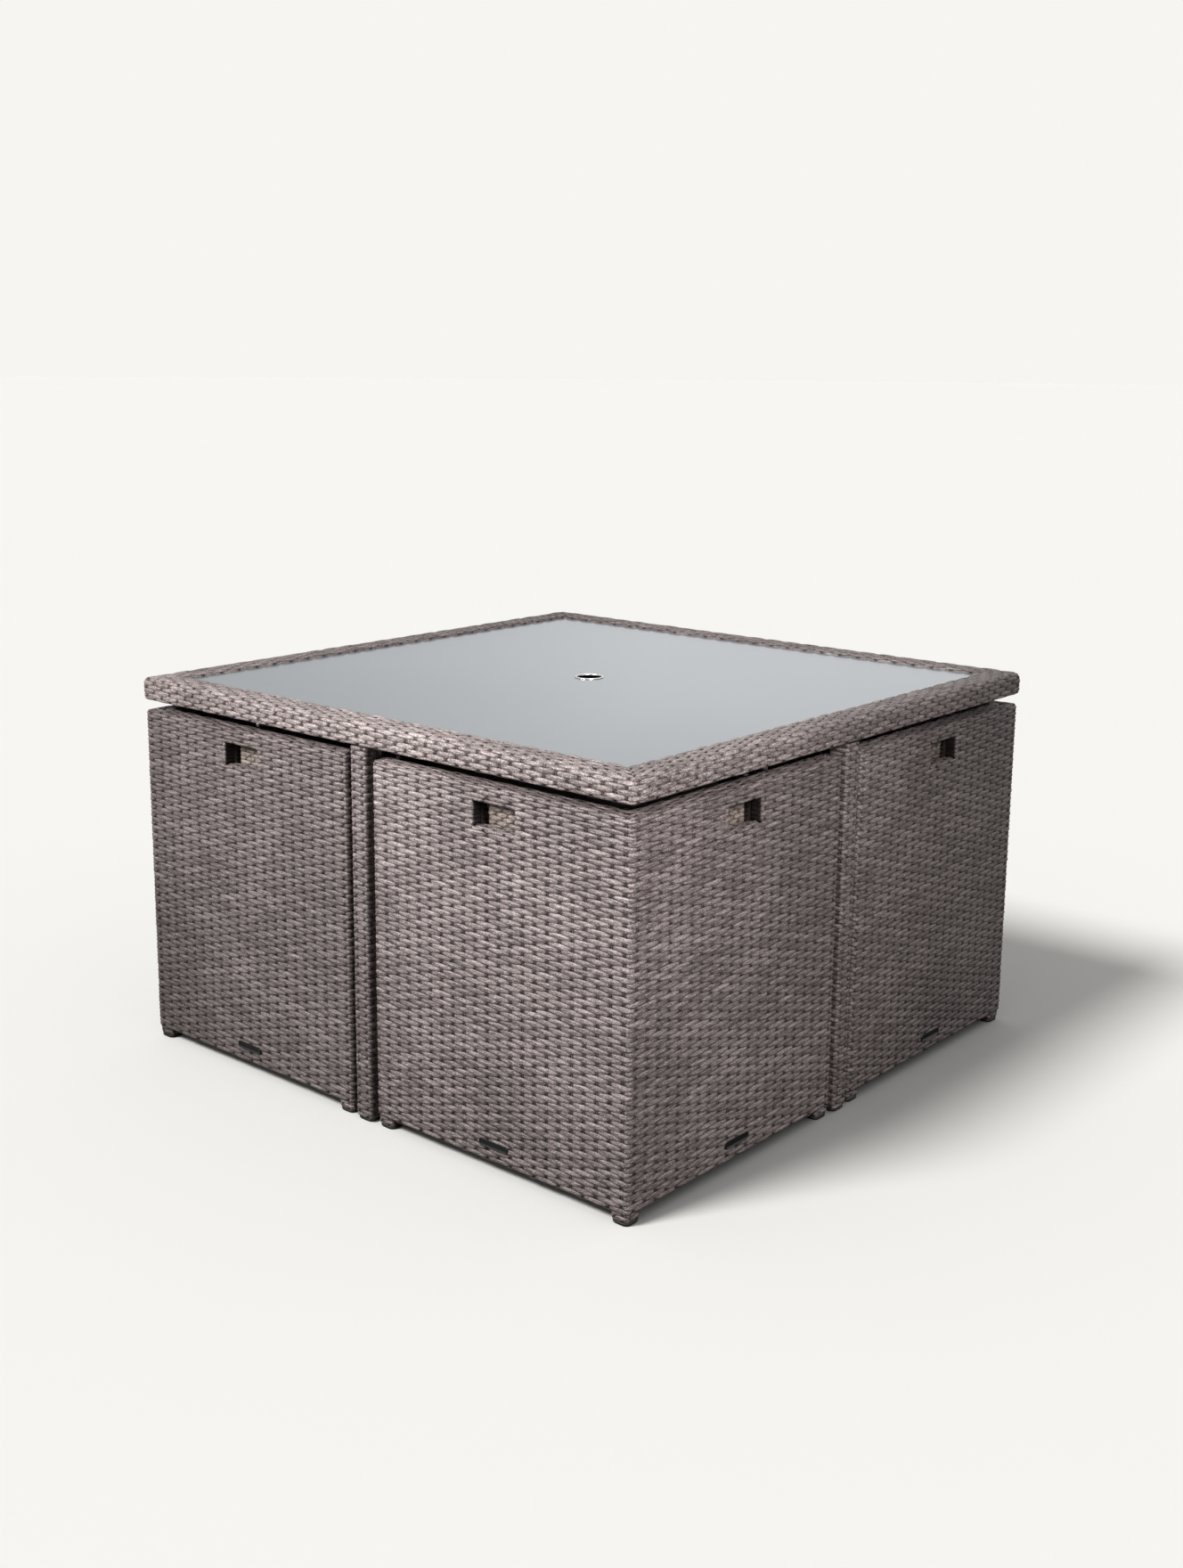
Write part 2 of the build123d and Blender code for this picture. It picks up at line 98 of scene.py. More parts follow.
# ---------------------------------------------------------------- loops and profiles
class Plan:
    """A path with 90 degree corners, rounded, seen along the profile's own z.
    S runs along it; inset moves it inwards, away from the outward normal."""

    def __init__(self, pts, radii, closed=True):
        self.pts = np.array(pts, float)
        self.closed = closed
        m = len(pts)
        self.ne = m if closed else m - 1
        self.t = []
        for i in range(self.ne):
            d = self.pts[(i + 1) % m] - self.pts[i]
            self.t.append(d / np.linalg.norm(d))
        self.t = np.array(self.t)
        self.nrm = np.stack([self.t[:, 1], -self.t[:, 0]], 1)
        self.R = np.array(radii if hasattr(radii, "__len__") else [radii] * m, float)
        if not closed:
            self.R[0] = self.R[-1] = 0
        self.segs = []  # (kind, index, S0, S1)
        s = 0.0
        self.edge_s0 = []
        for i in range(self.ne):
            L = np.linalg.norm(self.pts[(i + 1) % m] - self.pts[i]) - self.R[i] - self.R[(i + 1) % m]
            self.edge_s0.append(s)
            self.segs.append(("line", i, s, s + L))
            s += L
            if closed or i < self.ne - 1:
                k = (i + 1) % m
                a = max(self.R[k], 1e-3) * math.pi / 2
                self.segs.append(("arc", k, s, s + a))
                s += a
        self.total = s

    def at(self, edge, dist):
        """S of the point at this distance from the edge's first, sharp corner."""
        return self.edge_s0[edge] + dist - self.R[edge]

    def arcs(self):
        return [(a, b) for kind, _, a, b in self.segs if kind == "arc"]

    def corner(self, k, e):
        m = len(self.pts)
        if not self.closed and k in (0, m - 1):
            n = self.nrm[0] if k == 0 else self.nrm[-1]
            return self.pts[k] - e[:, None] * n, np.zeros_like(e)
        n1, n2 = self.nrm[(k - 1) % m], self.nrm[k % m]
        v = self.pts[k] - e[:, None] * (n1 + n2)
        t1, t2 = self.t[(k - 1) % m], self.t[k % m]
        left = t1[0] * t2[1] - t1[1] * t2[0] > 0
        r = np.maximum(self.R[k] - e, 0.6) if left else np.maximum(self.R[k] + e, 0.6)
        return v, r

    def __call__(self, S, e):
        S = np.asarray(S, float)
        e = np.broadcast_to(np.asarray(e, float), S.shape)
        flat, ef = S.ravel(), e.ravel()
        if self.closed:
            flat = np.mod(flat, self.total)
        P = np.zeros((flat.size, 2))
        N = np.zeros((flat.size, 2))
        m = len(self.pts)
        for j, (kind, i, a, b) in enumerate(self.segs):
            lo = flat >= a if j else flat >= -1e9
            hi = flat < b if j < len(self.segs) - 1 else flat < 1e9
            w = lo & hi
            if not w.any():
                continue
            u = (flat[w] - a) / max(b - a, 1e-9)
            ee = ef[w]
            if kind == "line":
                va, ra = self.corner(i, ee)
                vb, rb = self.corner((i + 1) % m, ee)
                pa = va + self.t[i] * ra[:, None]
                pb = vb - self.t[i] * rb[:, None]
                P[w] = pa + (pb - pa) * u[:, None]
                N[w] = self.nrm[i]
            else:
                v, r = self.corner(i, ee)
                n1, n2 = self.nrm[(i - 1) % m], self.nrm[i % m]
                t1, t2 = self.t[(i - 1) % m], self.t[i % m]
                left = t1[0] * t2[1] - t1[1] * t2[0] > 0
                c, s = np.cos(u * math.pi / 2), np.sin(u * math.pi / 2)
                n = n1 * c[:, None] + n2 * s[:, None]
                sign = 1.0 if left else -1.0
                P[w] = v - sign * r[:, None] * (n1 + n2) + sign * r[:, None] * n
                N[w] = n
        return P.reshape(*S.shape, 2), N.reshape(*S.shape, 2)


class Profile:
    """The way across the rows: (inset, z) by its own length p."""

    def __init__(self, steps, start):
        pts = [np.array(start, float)]
        for st in steps:
            if st[0] == "to":
                pts.append(np.array(st[1:], float))
            else:  # ("arc", centre e, centre z, end e, end z)
                c, end = np.array(st[1:3], float), np.array(st[3:5], float)
                a = pts[-1] - c
                r = np.linalg.norm(a)
                a0 = math.atan2(a[1], a[0])
                b = end - c
                d = math.atan2(b[1], b[0]) - a0
                d = (d + math.pi) % (2 * math.pi) - math.pi
                k = max(4, int(abs(d) * r / 1.5))
                for j in range(1, k + 1):
                    t = a0 + d * j / k
                    pts.append(c + r * np.array([math.cos(t), math.sin(t)]))
        self.pts = np.array(pts)
        seg = np.diff(self.pts, axis=0)
        ln = np.linalg.norm(seg, axis=1)
        self.p = np.concatenate([[0], np.cumsum(ln)])
        self.total = self.p[-1]
        tan = seg / ln[:, None]
        nrm = np.stack([tan[:, 1], tan[:, 0]], 1)  # outward part, upward part
        vn = np.zeros_like(self.pts)
        vn[:-1] += nrm
        vn[1:] += nrm
        sharp = np.concatenate([[False], (tan[1:] * tan[:-1]).sum(1) < 0.7, [False]])
        self.n = vn / np.linalg.norm(vn, axis=1)[:, None]
        self.sharp = sharp

    def __call__(self, p):
        p = np.asarray(p, float)
        e = np.interp(p, self.p, self.pts[:, 0])
        z = np.interp(p, self.p, self.pts[:, 1])
        no = np.interp(p, self.p, self.n[:, 0])
        nz = np.interp(p, self.p, self.n[:, 1])
        ln = np.sqrt(no * no + nz * nz) + 1e-9
        return e, z, no / ln, nz / ln


class Skin:
    """A woven skin: plan x profile, placed by axes (columns: local x, y, z)."""

    def __init__(self, plan, prof, axes=None, origin=(0, 0, 0)):
        self.plan, self.prof = plan, prof
        self.axes = np.eye(3) if axes is None else np.array(axes, float)
        self.o = np.array(origin, float)
        self.flip = np.linalg.det(self.axes) < 0

    def at(self, S, p, out=0.0):
        S, p = np.broadcast_arrays(np.asarray(S, float), np.asarray(p, float))
        e, z, no, nz = self.prof(p)
        P, N = self.plan(S, e)
        n3 = np.concatenate([N * no[..., None], nz[..., None]], -1)
        q = np.concatenate([P, z[..., None]], -1) + n3 * np.broadcast_to(out, S.shape)[..., None]
        return q @ self.axes.T + self.o


ACROSS = np.array([-1.0, -0.66, 0.0, 0.66, 1.0])
DROP = np.array([2.0, 0.66, 0.0, 0.66, 2.0])
# weights of painted shade across a strand, darkest at its two edges
EDGE_SHADE = np.array([1.0, 0.22, 0.0, 0.22, 1.0])
T_LONG = [0.0, 0.38, 0.70, 0.84, 0.93]
T_SHORT = [0.0, 0.5, 0.82]
TURN = 4.0


def dive(t):
    """1 over the stake, -1 under the next: a long swelling, then a short, steep valley."""
    return np.interp(t, [0, 0.38, 0.70, 0.84, 0.93, 1.0], [1.0, 0.97, 0.74, 0.30, -0.50, -1.0])


def row_samples(skin, stakes, parity, lo, hi, closed):
    """S samples with depth share and brick number for a row of this parity."""
    st = np.array(stakes, float)
    S, D, B = [], [], []
    m = len(st)
    last = m if closed else m - 1
    for j in range(last):
        a = st[j]
        b = st[(j + 1) % m] + (skin.plan.total if j + 1 >= m else 0)
        over = (j + parity) % 2 == 0
        ts = np.array(T_LONG if b - a > 14 else T_SHORT)
        tt = ts if over else 1 - ts[::-1][:-1]
        if not over:
            tt = np.concatenate([[0.0], tt])
        S += list(a + tt * (b - a))
        D += list(dive(tt if over else 1 - tt))
        B += [j if over else j + 1] * len(tt)
    S.append(st[0] + skin.plan.total if closed else st[-1])
    D.append(1.0 if (last + parity) % 2 == 0 else -1.0)
    B.append(last)
    S, D, B = np.array(S), np.array(D), np.array(B)
    extra = []
    for a, b in skin.plan.arcs():
        for k in ((0.0, 0.34, 0.67, 1.0) if b - a > 18 else (0.0, 0.5, 1.0)):
            for off in (0.0, skin.plan.total if closed else 1e9):
                s = a + (b - a) * k + off
                if S[0] < s < S[-1] and np.abs(S - s).min() > 0.7:
                    extra.append(s)
    extra += [s for s in (lo, hi) if S[0] < s < S[-1] and np.abs(S - s).min() > 0.05]
    if extra:
        extra = np.array(sorted(extra))
        at = np.searchsorted(S, extra)
        D = np.insert(D, at, np.interp(extra, S, D))
        B = np.insert(B, at, B[np.clip(at, 0, len(B) - 1)])
        S = np.insert(S, at, extra)
    keep = (S >= lo - 1e-6) & (S <= hi + 1e-6)
    return S[keep], D[keep], B[keep]


def end_span(span, edge, side, depth):
    """A row stopped at an opening's edge. With a depth it turns round the edge, inwards."""
    s_, d_, b_, x_, g_ = span
    stop = edge - side * (TURN if depth else 0.0)
    k = s_ < stop - 0.4 if side > 0 else s_ > stop + 0.4
    ss, dd, bb, xx, gg = s_[k], d_[k].copy(), b_[k], x_[k], g_[k]
    if depth:
        near = np.clip(1.15 - np.abs(ss - stop) / 9.0, 0, 1)
        dd += (1.0 - dd) * near
    de = 1.0 if depth else float(np.interp(stop, s_, d_))
    be = b_[np.clip(np.searchsorted(s_, stop), 0, len(b_) - 1)]
    arc = TURN * math.pi / 2
    ex = [0.0] + ([arc * 0.33, arc * 0.67, arc, arc + 5.0, depth] if depth else [])
    ed = [de] + ([1.0, 1.0, 1.0, 0.85, 0.55] if depth else [])
    n = len(ex)
    ext = (np.full(n, stop), np.array(ed), np.full(n, be), np.array(ex), np.full(n, float(side)))
    if side < 0:
        ext = tuple(a[::-1] for a in ext)
        return tuple(np.concatenate([e, o]) for e, o in zip(ext, (ss, dd, bb, xx, gg)))
    return tuple(np.concatenate([o, e]) for e, o in zip(ext, (ss, dd, bb, xx, gg)))


def turned_points(skin, S, p, out, x, g):
    """Points past an opening's edge: round an arc of TURN, then straight inwards."""
    base = skin.at(S, p, 0.0)
    n = skin.at(S, p, 1.0) - base
    t = (skin.at(S + 0.5, p, 0.0) - skin.at(S - 0.5, p, 0.0)) * g[..., None]
    arc = TURN * math.pi / 2
    phi = np.minimum(x, arc) / TURN
    r = TURN + out
    ctr = base - n * TURN
    return ctr + r[..., None] * (n * np.cos(phi)[..., None] + t * np.sin(phi)[..., None]) - n * np.maximum(x - arc, 0)[..., None]


def weave(bin_, skin, stakes, bounds, seed, s_range=None, cuts=(), cell=(0, 0, 1, 1),
          rows=None, first=0, amp=2.0, base=-2.0, width=1.0, closed=None, wobble=0.2, mi=0,
          uv_s=None, uv_p=None, drop=1.0):
    """Rows of flat strands over and under the stakes; bounds are the rows' edges by p.
    cuts are (S0, S1, pa, pb, depth) openings."""
    closed = skin.plan.closed if closed is None else closed
    n_rows = len(bounds) - 1
    lo, hi = s_range if s_range else (-1e9, 1e9)
    rng = np.random.default_rng(seed)
    tab_tone = rng.random((n_rows + 2, len(stakes) + 3))
    tab_amp = rng.normal(0, 0.12, (n_rows + 2, len(stakes) + 3))
    tab_row = rng.random((n_rows + 2, 6))
    us = uv_s or (max(lo, min(stakes)), min(hi, max(stakes) + (skin.plan.total if closed else 0)))
    up = uv_p or (bounds[0], bounds[-1])
    for i in range(n_rows) if rows is None else rows:
        parity = (i + first) % 2
        S, D, B = row_samples(skin, stakes, parity, lo, hi, closed)
        step = bounds[i + 1] - bounds[i]
        p = (bounds[i] + bounds[i + 1]) / 2
        spans = [(S, D, B, np.zeros_like(S), np.ones_like(S))]
        for c0, c1, pa, pb, depth in cuts:
            if pa < p < pb:
                nxt = []
                for sp in spans:
                    if sp[0][0] < c0 and c1 < sp[0][-1]:
                        nxt += [end_span(sp, c0, 1, depth), end_span(sp, c1, -1, depth)]
                    else:
                        nxt.append(sp)
                spans = nxt
        for s_, d_, b_, x_, g_ in spans:
            if len(s_) < 2:
                continue
            bi = np.clip(b_, 0, tab_tone.shape[1] - 1)
            out = base + amp * d_ * (1 + tab_amp[i][bi] * np.where(d_ > 0, 1, 0.3))
            w = 0.5 * step * width * np.interp(d_, [-1, -0.3, 0.1, 0.66, 0.95, 1], [0.70, 0.74, 0.87, 1.05, 1.20, 1.22])
            wob = wobble * (np.sin(s_ * 0.021 + tab_row[i, 0] * 6.28) + 0.6 * np.sin(s_ * 0.077 + tab_row[i, 1] * 6.28))
            pp = p + wob[:, None] + w[:, None] * ACROSS[None, :]
            oo = out[:, None] - drop * DROP[None, :]
            Sg = np.broadcast_to(s_[:, None], pp.shape)
            P = skin.at(Sg, pp, oo)
            k = x_ > 0
            if k.any():
                sh = (int(k.sum()), pp.shape[1])
                P[k] = turned_points(skin, Sg[k], pp[k], oo[k], np.broadcast_to(x_[k][:, None], sh), np.broadcast_to(g_[k][:, None], sh))
            along = Sg + (x_ * g_)[:, None]
            sc = np.stack([along * MM, np.broadcast_to(ACROSS, pp.shape), np.full(pp.shape, tab_row[i, 2])], -1)[None]
            tone = (0.72 * tab_tone[i][bi] + 0.28 * tab_row[i, 3])[None, :, None]
            # painted shade: darker where the strand dives under a stake, along its edges and where it turns into an
            # opening's jamb
            dep = (0.5 - 0.5 * d_ + 1.0 * np.clip((x_ - 1.0) / 7.0, 0, 1))[None, :, None] + 0.5 * EDGE_SHADE[None, None, :]
            u = cell[0] + (cell[2] - cell[0]) * (along - us[0]) / max(us[1] - us[0], 1e-6)
            v = cell[1] + (cell[3] - cell[1]) * (p + ACROSS[None, :] * step * 0.48 - up[0]) / max(up[1] - up[0], 1e-6)
            uv = np.stack([u, np.broadcast_to(v, pp.shape)], -1)[None]
            bin_.grid(P[None], sc, tone, np.clip(dep, 0, 1), np.clip(uv, 0, 1), mi, flip=skin.flip)


def even_rows(p0, p1, pitch):
    return np.linspace(p0, p1, max(1, round((p1 - p0) / pitch)) + 1)


def stake_strips(bin_, skin, stakes, p0, p1, seed, s_range=None, cuts=(), cell=(0, 0, 1, 1),
                 out=-2.4, half=1.3, step=48.0, mi=0):
    rng = np.random.default_rng(seed)
    lo, hi = s_range if s_range else (-1e9, 1e9)
    grid_p = sorted({round(x, 3) for x in list(skin.prof.p[(skin.prof.p > p0) & (skin.prof.p < p1)])
                     + [p0, p1] + list(np.arange(p0, p1, step))})
    gp = np.array(grid_p)
    keep = np.concatenate([[True], np.diff(gp) > 1.2])
    gp = gp[keep]
    off = np.array([-1.0, -0.45, 0.45, 1.0]) * half
    drop = np.array([1.4, 0.15, 0.15, 1.4])
    for j, s in enumerate(stakes):
        if not lo - 3 <= s <= hi + 3:
            continue
        spans = [(p0, p1)]
        for c0, c1, pa, pb, _ in cuts:
            if c0 - half < s < c1 + half:
                nxt = []
                for a, b in spans:
                    if a < pa:
                        nxt.append((a, min(b, pa)))
                    if b > pb:
                        nxt.append((max(a, pb), b))
                spans = nxt
        for a, b in spans:
            if b - a < 2:
                continue
            q = np.concatenate([[a], gp[(gp > a + 0.5) & (gp < b - 0.5)], [b]])
            Sg = s + np.broadcast_to(off[None, :], (len(q), 4))
            pg = np.broadcast_to(q[:, None], Sg.shape)
            P = skin.at(Sg, pg, out - drop[None, :])[None]
            sc = np.stack([pg * MM, np.broadcast_to(off / half, pg.shape), np.full(pg.shape, rng.random())], -1)[None]
            u = cell[0] + (cell[2] - cell[0]) * ((j + 0.5) / (len(stakes) + 1) + off[None, :] / half * 0.35 / (len(stakes) + 1))
            v = cell[1] + (cell[3] - cell[1]) * (pg - p0) / max(p1 - p0, 1e-6)
            uv = np.stack([np.broadcast_to(u, pg.shape), v], -1)[None]
            # painted shade: stakes are darkened by a fixed amount for the shade they sit in behind the rows
            bin_.grid(P, sc, rng.random(), 0.52, np.clip(uv, 0, 1), mi, flip=not skin.flip)


def backing(bin_, skin, p0, p1, s0, s1, cuts=(), cell=(0, 0, 1, 1), out=-5.2, mi=0, extra=()):
    """The dark layer behind the strands, closing every gap between them: a sheet of painted shade for the dark inside
    of the weave.
    """
    ss = {s0, s1}
    for a, b in skin.plan.arcs():
        for k in (0.0, 0.5, 1.0):
            for off in (0, skin.plan.total):
                s = a + (b - a) * k + off
                if s0 < s < s1:
                    ss.add(s)
    pp = {p0, p1} | {x for x in skin.prof.p if p0 < x < p1}
    for c0, c1, pa, pb, _ in cuts:
        ss |= {x for x in (c0, c1) if s0 < x < s1}
        pp |= {x for x in (pa, pb) if p0 < x < p1}
    ss |= set(extra)
    ss, pp = np.array(sorted(ss)), np.array(sorted(pp))
    ss = ss[np.concatenate([[True], np.diff(ss) > 0.2])]
    pp = pp[np.concatenate([[True], np.diff(pp) > 0.2])]
    Sg, pg = np.meshgrid(ss, pp, indexing="ij")
    P = skin.at(Sg, pg, out)[None]
    sm, pm = (ss[1:] + ss[:-1]) / 2, (pp[1:] + pp[:-1]) / 2
    skip = np.zeros((1, len(sm), len(pm)), bool)
    for c0, c1, pa, pb, _ in cuts:
        skip |= ((sm > c0) & (sm < c1))[None, :, None] & ((pm > pa) & (pm < pb))[None, None, :]
    sc = np.stack([Sg * MM, pg * 0, pg * 0], -1)[None]
    u = cell[0] + (cell[2] - cell[0]) * (Sg - s0) / (s1 - s0)
    v = cell[1] + (cell[3] - cell[1]) * (pg - p0) / (p1 - p0)
    bin_.grid(P, sc, 0.3, 1.0, np.stack([u, v], -1)[None], mi, flip=skin.flip, skip=skip)


# ---------------------------------------------------------------- materials
def srgb(r, g, b):
    return tuple(((c / 12.92) if c <= 0.04045 else ((c + 0.055) / 1.055) ** 2.4) for c in (r / 255, g / 255, b / 255)) + (1.0,)


class Nodes:
    def __init__(self, name):
        self.m = bpy.data.materials.new(name)
        self.m.use_nodes = True
        self.t = self.m.node_tree
        self.t.nodes.clear()
        self.out = self.new("ShaderNodeOutputMaterial")
        self.b = self.new("ShaderNodeBsdfPrincipled")
        self.t.links.new(self.b.outputs[0], self.out.inputs[0])

    def new(self, kind, **props):
        n = self.t.nodes.new(kind)
        for k, v in props.items():
            setattr(n, k, v)
        return n

    def link(self, a, b):
        self.t.links.new(a, b)

    def set(self, **kw):
        for k, v in kw.items():
            self.b.inputs[k.replace("_", " ")].default_value = v
        return self

    def attr(self, name):
        return self.new("ShaderNodeAttribute", attribute_name=name)

    def math(self, op, a, b=None, clamp=False):
        n = self.new("ShaderNodeMath", operation=op, use_clamp=clamp)
        for i, x in enumerate((a, b)):
            if x is None:
                continue
            if isinstance(x, (int, float)):
                n.inputs[i].default_value = x
            else:
                self.link(x, n.inputs[i])
        return n.outputs[0]

    def noise(self, vec, scale, detail=2.0, rough=0.5, dist=0.0):
        n = self.new("ShaderNodeTexNoise")
        n.inputs["Scale"].default_value = scale
        n.inputs["Detail"].default_value = detail
        n.inputs["Roughness"].default_value = rough
        n.inputs["Distortion"].default_value = dist
        if vec is not None:
            self.link(vec, n.inputs["Vector"])
        return n.outputs["Fac"]

    def obj(self):
        return self.new("ShaderNodeTexCoord").outputs["Object"]

    def scaled(self, vec, x, y, z):
        n = self.new("ShaderNodeMapping")
        n.inputs["Scale"].default_value = (x, y, z)
        self.link(vec, n.inputs["Vector"])
        return n.outputs[0]

    def ramp(self, fac, stops, kind="LINEAR"):
        n = self.new("ShaderNodeValToRGB")
        n.color_ramp.interpolation = kind
        el = n.color_ramp.elements
        while len(el) < len(stops):
            el.new(0.5)
        for e, (pos, col) in zip(el, stops):
            e.position = pos
            e.color = col
        self.link(fac, n.inputs[0])
        return n.outputs[0]

    def mix(self, fac, a, b, kind="MIX"):
        n = self.new("ShaderNodeMix", data_type="RGBA", blend_type=kind)
        for sock, x in ((n.inputs[0], fac), (n.inputs[6], a), (n.inputs[7], b)):
            if isinstance(x, (int, float, tuple)):
                sock.default_value = x
            else:
                self.link(x, sock)
        return n.outputs[2]

    def maprange(self, v, a, b, c, d):
        n = self.new("ShaderNodeMapRange")
        n.inputs[1].default_value, n.inputs[2].default_value = a, b
        n.inputs[3].default_value, n.inputs[4].default_value = c, d
        self.link(v, n.inputs[0])
        return n.outputs[0]

    def bump(self, height, strength, distance, normal=None):
        n = self.new("ShaderNodeBump")
        n.inputs["Strength"].default_value = strength
        n.inputs["Distance"].default_value = distance
        self.link(height, n.inputs["Height"])
        if normal is not None:
            self.link(normal, n.inputs["Normal"])
        return n.outputs[0]


def rattan(name, dark, mid, light, rough=0.46):
    """Flat resin strand: lengthwise grain, each strand its own tone, and painted shade (with a little dust) darkening
    it where it dives, along its edges and in turned-in jambs.
    """
    k = Nodes(name)
    sc, tone, dep = k.attr("sc"), k.attr("tone"), k.attr("dep")
    grain = k.noise(k.scaled(sc.outputs["Vector"], 62.0, 2.6, 91.0), 1.0, 3.0, 0.62)
    fine = k.noise(k.scaled(sc.outputs["Vector"], 210.0, 6.5, 57.0), 1.0, 2.0, 0.6)
    fleck = k.noise(k.obj(), 400.0, 3.0, 0.7)
    cloud = k.noise(k.obj(), 2.4, 3.0, 0.55)
    a = k.math("MULTIPLY", grain, 0.46)
    a = k.math("ADD", a, k.math("MULTIPLY", fine, 0.42))
    a = k.math("ADD", a, k.math("MULTIPLY", fleck, 0.52))
    a = k.math("ADD", a, k.math("MULTIPLY", tone.outputs["Fac"], 0.085))
    a = k.math("ADD", a, k.math("MULTIPLY", cloud, 0.16))
    a = k.maprange(a, 0.69, 1.0, 0.0, 1.0)
    col = k.ramp(a, [(0.0, dark), (0.45, mid), (1.0, light)])
    # painted shade: the strand's colour is multiplied darker by its shade amount, down to near black
    dust_and_shade = k.ramp(dep.outputs["Fac"], [(0.0, (1, 1, 1, 1)), (0.22, (0.80, 0.78, 0.775, 1)), (0.5, (0.40, 0.37, 0.36, 1)),
                                       (0.75, (0.16, 0.145, 0.14, 1)), (1.0, (0.06, 0.052, 0.05, 1))])
    col = k.mix(1.0, col, dust_and_shade, "MULTIPLY")
    k.link(col, k.b.inputs["Base Color"])
    r = k.math("ADD", k.math("MULTIPLY", grain, 0.26), rough - 0.13)
    k.link(r, k.b.inputs["Roughness"])
    h = k.math("ADD", k.math("MULTIPLY", grain, 0.6), k.math("ADD", k.math("MULTIPLY", fine, 0.6), k.math("MULTIPLY", fleck, 0.8)))
    k.link(k.bump(h, 0.7, 0.0006), k.b.inputs["Normal"])
    k.set(Specular_IOR_Level=0.4)
    return k.m


def coated_metal(name, col, col2, rough=0.38, metallic=0.0):
    k = Nodes(name)
    n1 = k.noise(k.obj(), 7.0, 3.0)
    n2 = k.noise(k.obj(), 900.0, 2.0)
    k.link(k.ramp(n1, [(0.3, col), (0.7, col2)]), k.b.inputs["Base Color"])
    k.link(k.math("ADD", k.math("MULTIPLY", n1, 0.18), rough - 0.05), k.b.inputs["Roughness"])
    k.link(k.bump(n2, 0.25, 0.0002), k.b.inputs["Normal"])
    k.set(Metallic=metallic)
    return k.m


M_RATTAN = rattan("rattan_strand", srgb(47, 40, 40), srgb(105, 95, 94), srgb(180, 170, 169))
M_RIM = rattan("rattan_rim", srgb(55, 48, 47), srgb(121, 110, 109), srgb(203, 193, 191))
# painted light: the grips' strand is lighter and warmer than the walls', for light on the recessed grips
M_GRIP_LIT = rattan("rattan_grip_painted_light", srgb(68, 59, 56), srgb(128, 116, 109), srgb(196, 184, 174))
# painted shade: a near-black strand colour for the backing sheets and opening sleeves, standing for the dark inside of
# the weave
M_SHADE_SHEET = rattan("rattan_shadow", srgb(30, 26, 25), srgb(44, 39, 37), srgb(60, 53, 50), 0.7)
M_FRAME = coated_metal("frame_powder_coat", srgb(46, 40, 37), srgb(58, 51, 47), 0.42)
M_STEEL = coated_metal("zinc_steel", srgb(150, 150, 150), srgb(176, 176, 174), 0.32, 1.0)
M_PLATE = coated_metal("black_moulding", srgb(12, 12, 12), srgb(22, 21, 21), 0.26)
M_FOOT = coated_metal("black_rubbery", srgb(16, 15, 15), srgb(30, 28, 27), 0.52)


def glass_material():
    k = Nodes("frosted_glass")
    big = k.noise(k.obj(), 1.7, 2.0, 0.5)
    fine = k.noise(k.obj(), 1400.0, 2.0, 0.5)
    k.link(k.ramp(big, [(0.3, srgb(104, 112, 120)), (0.7, srgb(112, 120, 127))]), k.b.inputs["Base Color"])
    k.link(k.math("ADD", k.math("MULTIPLY", big, 0.05), 0.21), k.b.inputs["Roughness"])
    k.link(k.bump(fine, 0.05, 0.0001), k.b.inputs["Normal"])
    k.set(Coat_Weight=0.5, Coat_Roughness=0.06, Specular_IOR_Level=0.55)
    return k.m


def chrome_material():
    k = Nodes("polished_ring")
    n = k.noise(k.scaled(k.obj(), 30, 30, 400), 1.0, 3.0)
    col = k.ramp(n, [(0.3, srgb(198, 198, 196)), (0.7, srgb(226, 226, 224))])
    # painted shade: the bore's wall darkens to near black the deeper it goes
    bore_shade = k.ramp(k.attr("dep").outputs["Fac"], [(0.0, (1, 1, 1, 1)), (1.0, (0.05, 0.05, 0.05, 1))])
    k.link(k.mix(1.0, col, bore_shade, "MULTIPLY"), k.b.inputs["Base Color"])
    k.link(k.math("ADD", k.math("MULTIPLY", n, 0.10), 0.06), k.b.inputs["Roughness"])
    k.set(Metallic=1.0)
    return k.m


def rubber_material():
    k = Nodes("clear_pad")
    n = k.noise(k.obj(), 300.0, 2.0)
    k.link(k.ramp(n, [(0.3, srgb(188, 190, 190)), (0.7, srgb(214, 215, 214))]), k.b.inputs["Base Color"])
    k.link(k.math("ADD", k.math("MULTIPLY", n, 0.2), 0.25), k.b.inputs["Roughness"])
    k.set(IOR=1.45)
    return k.m


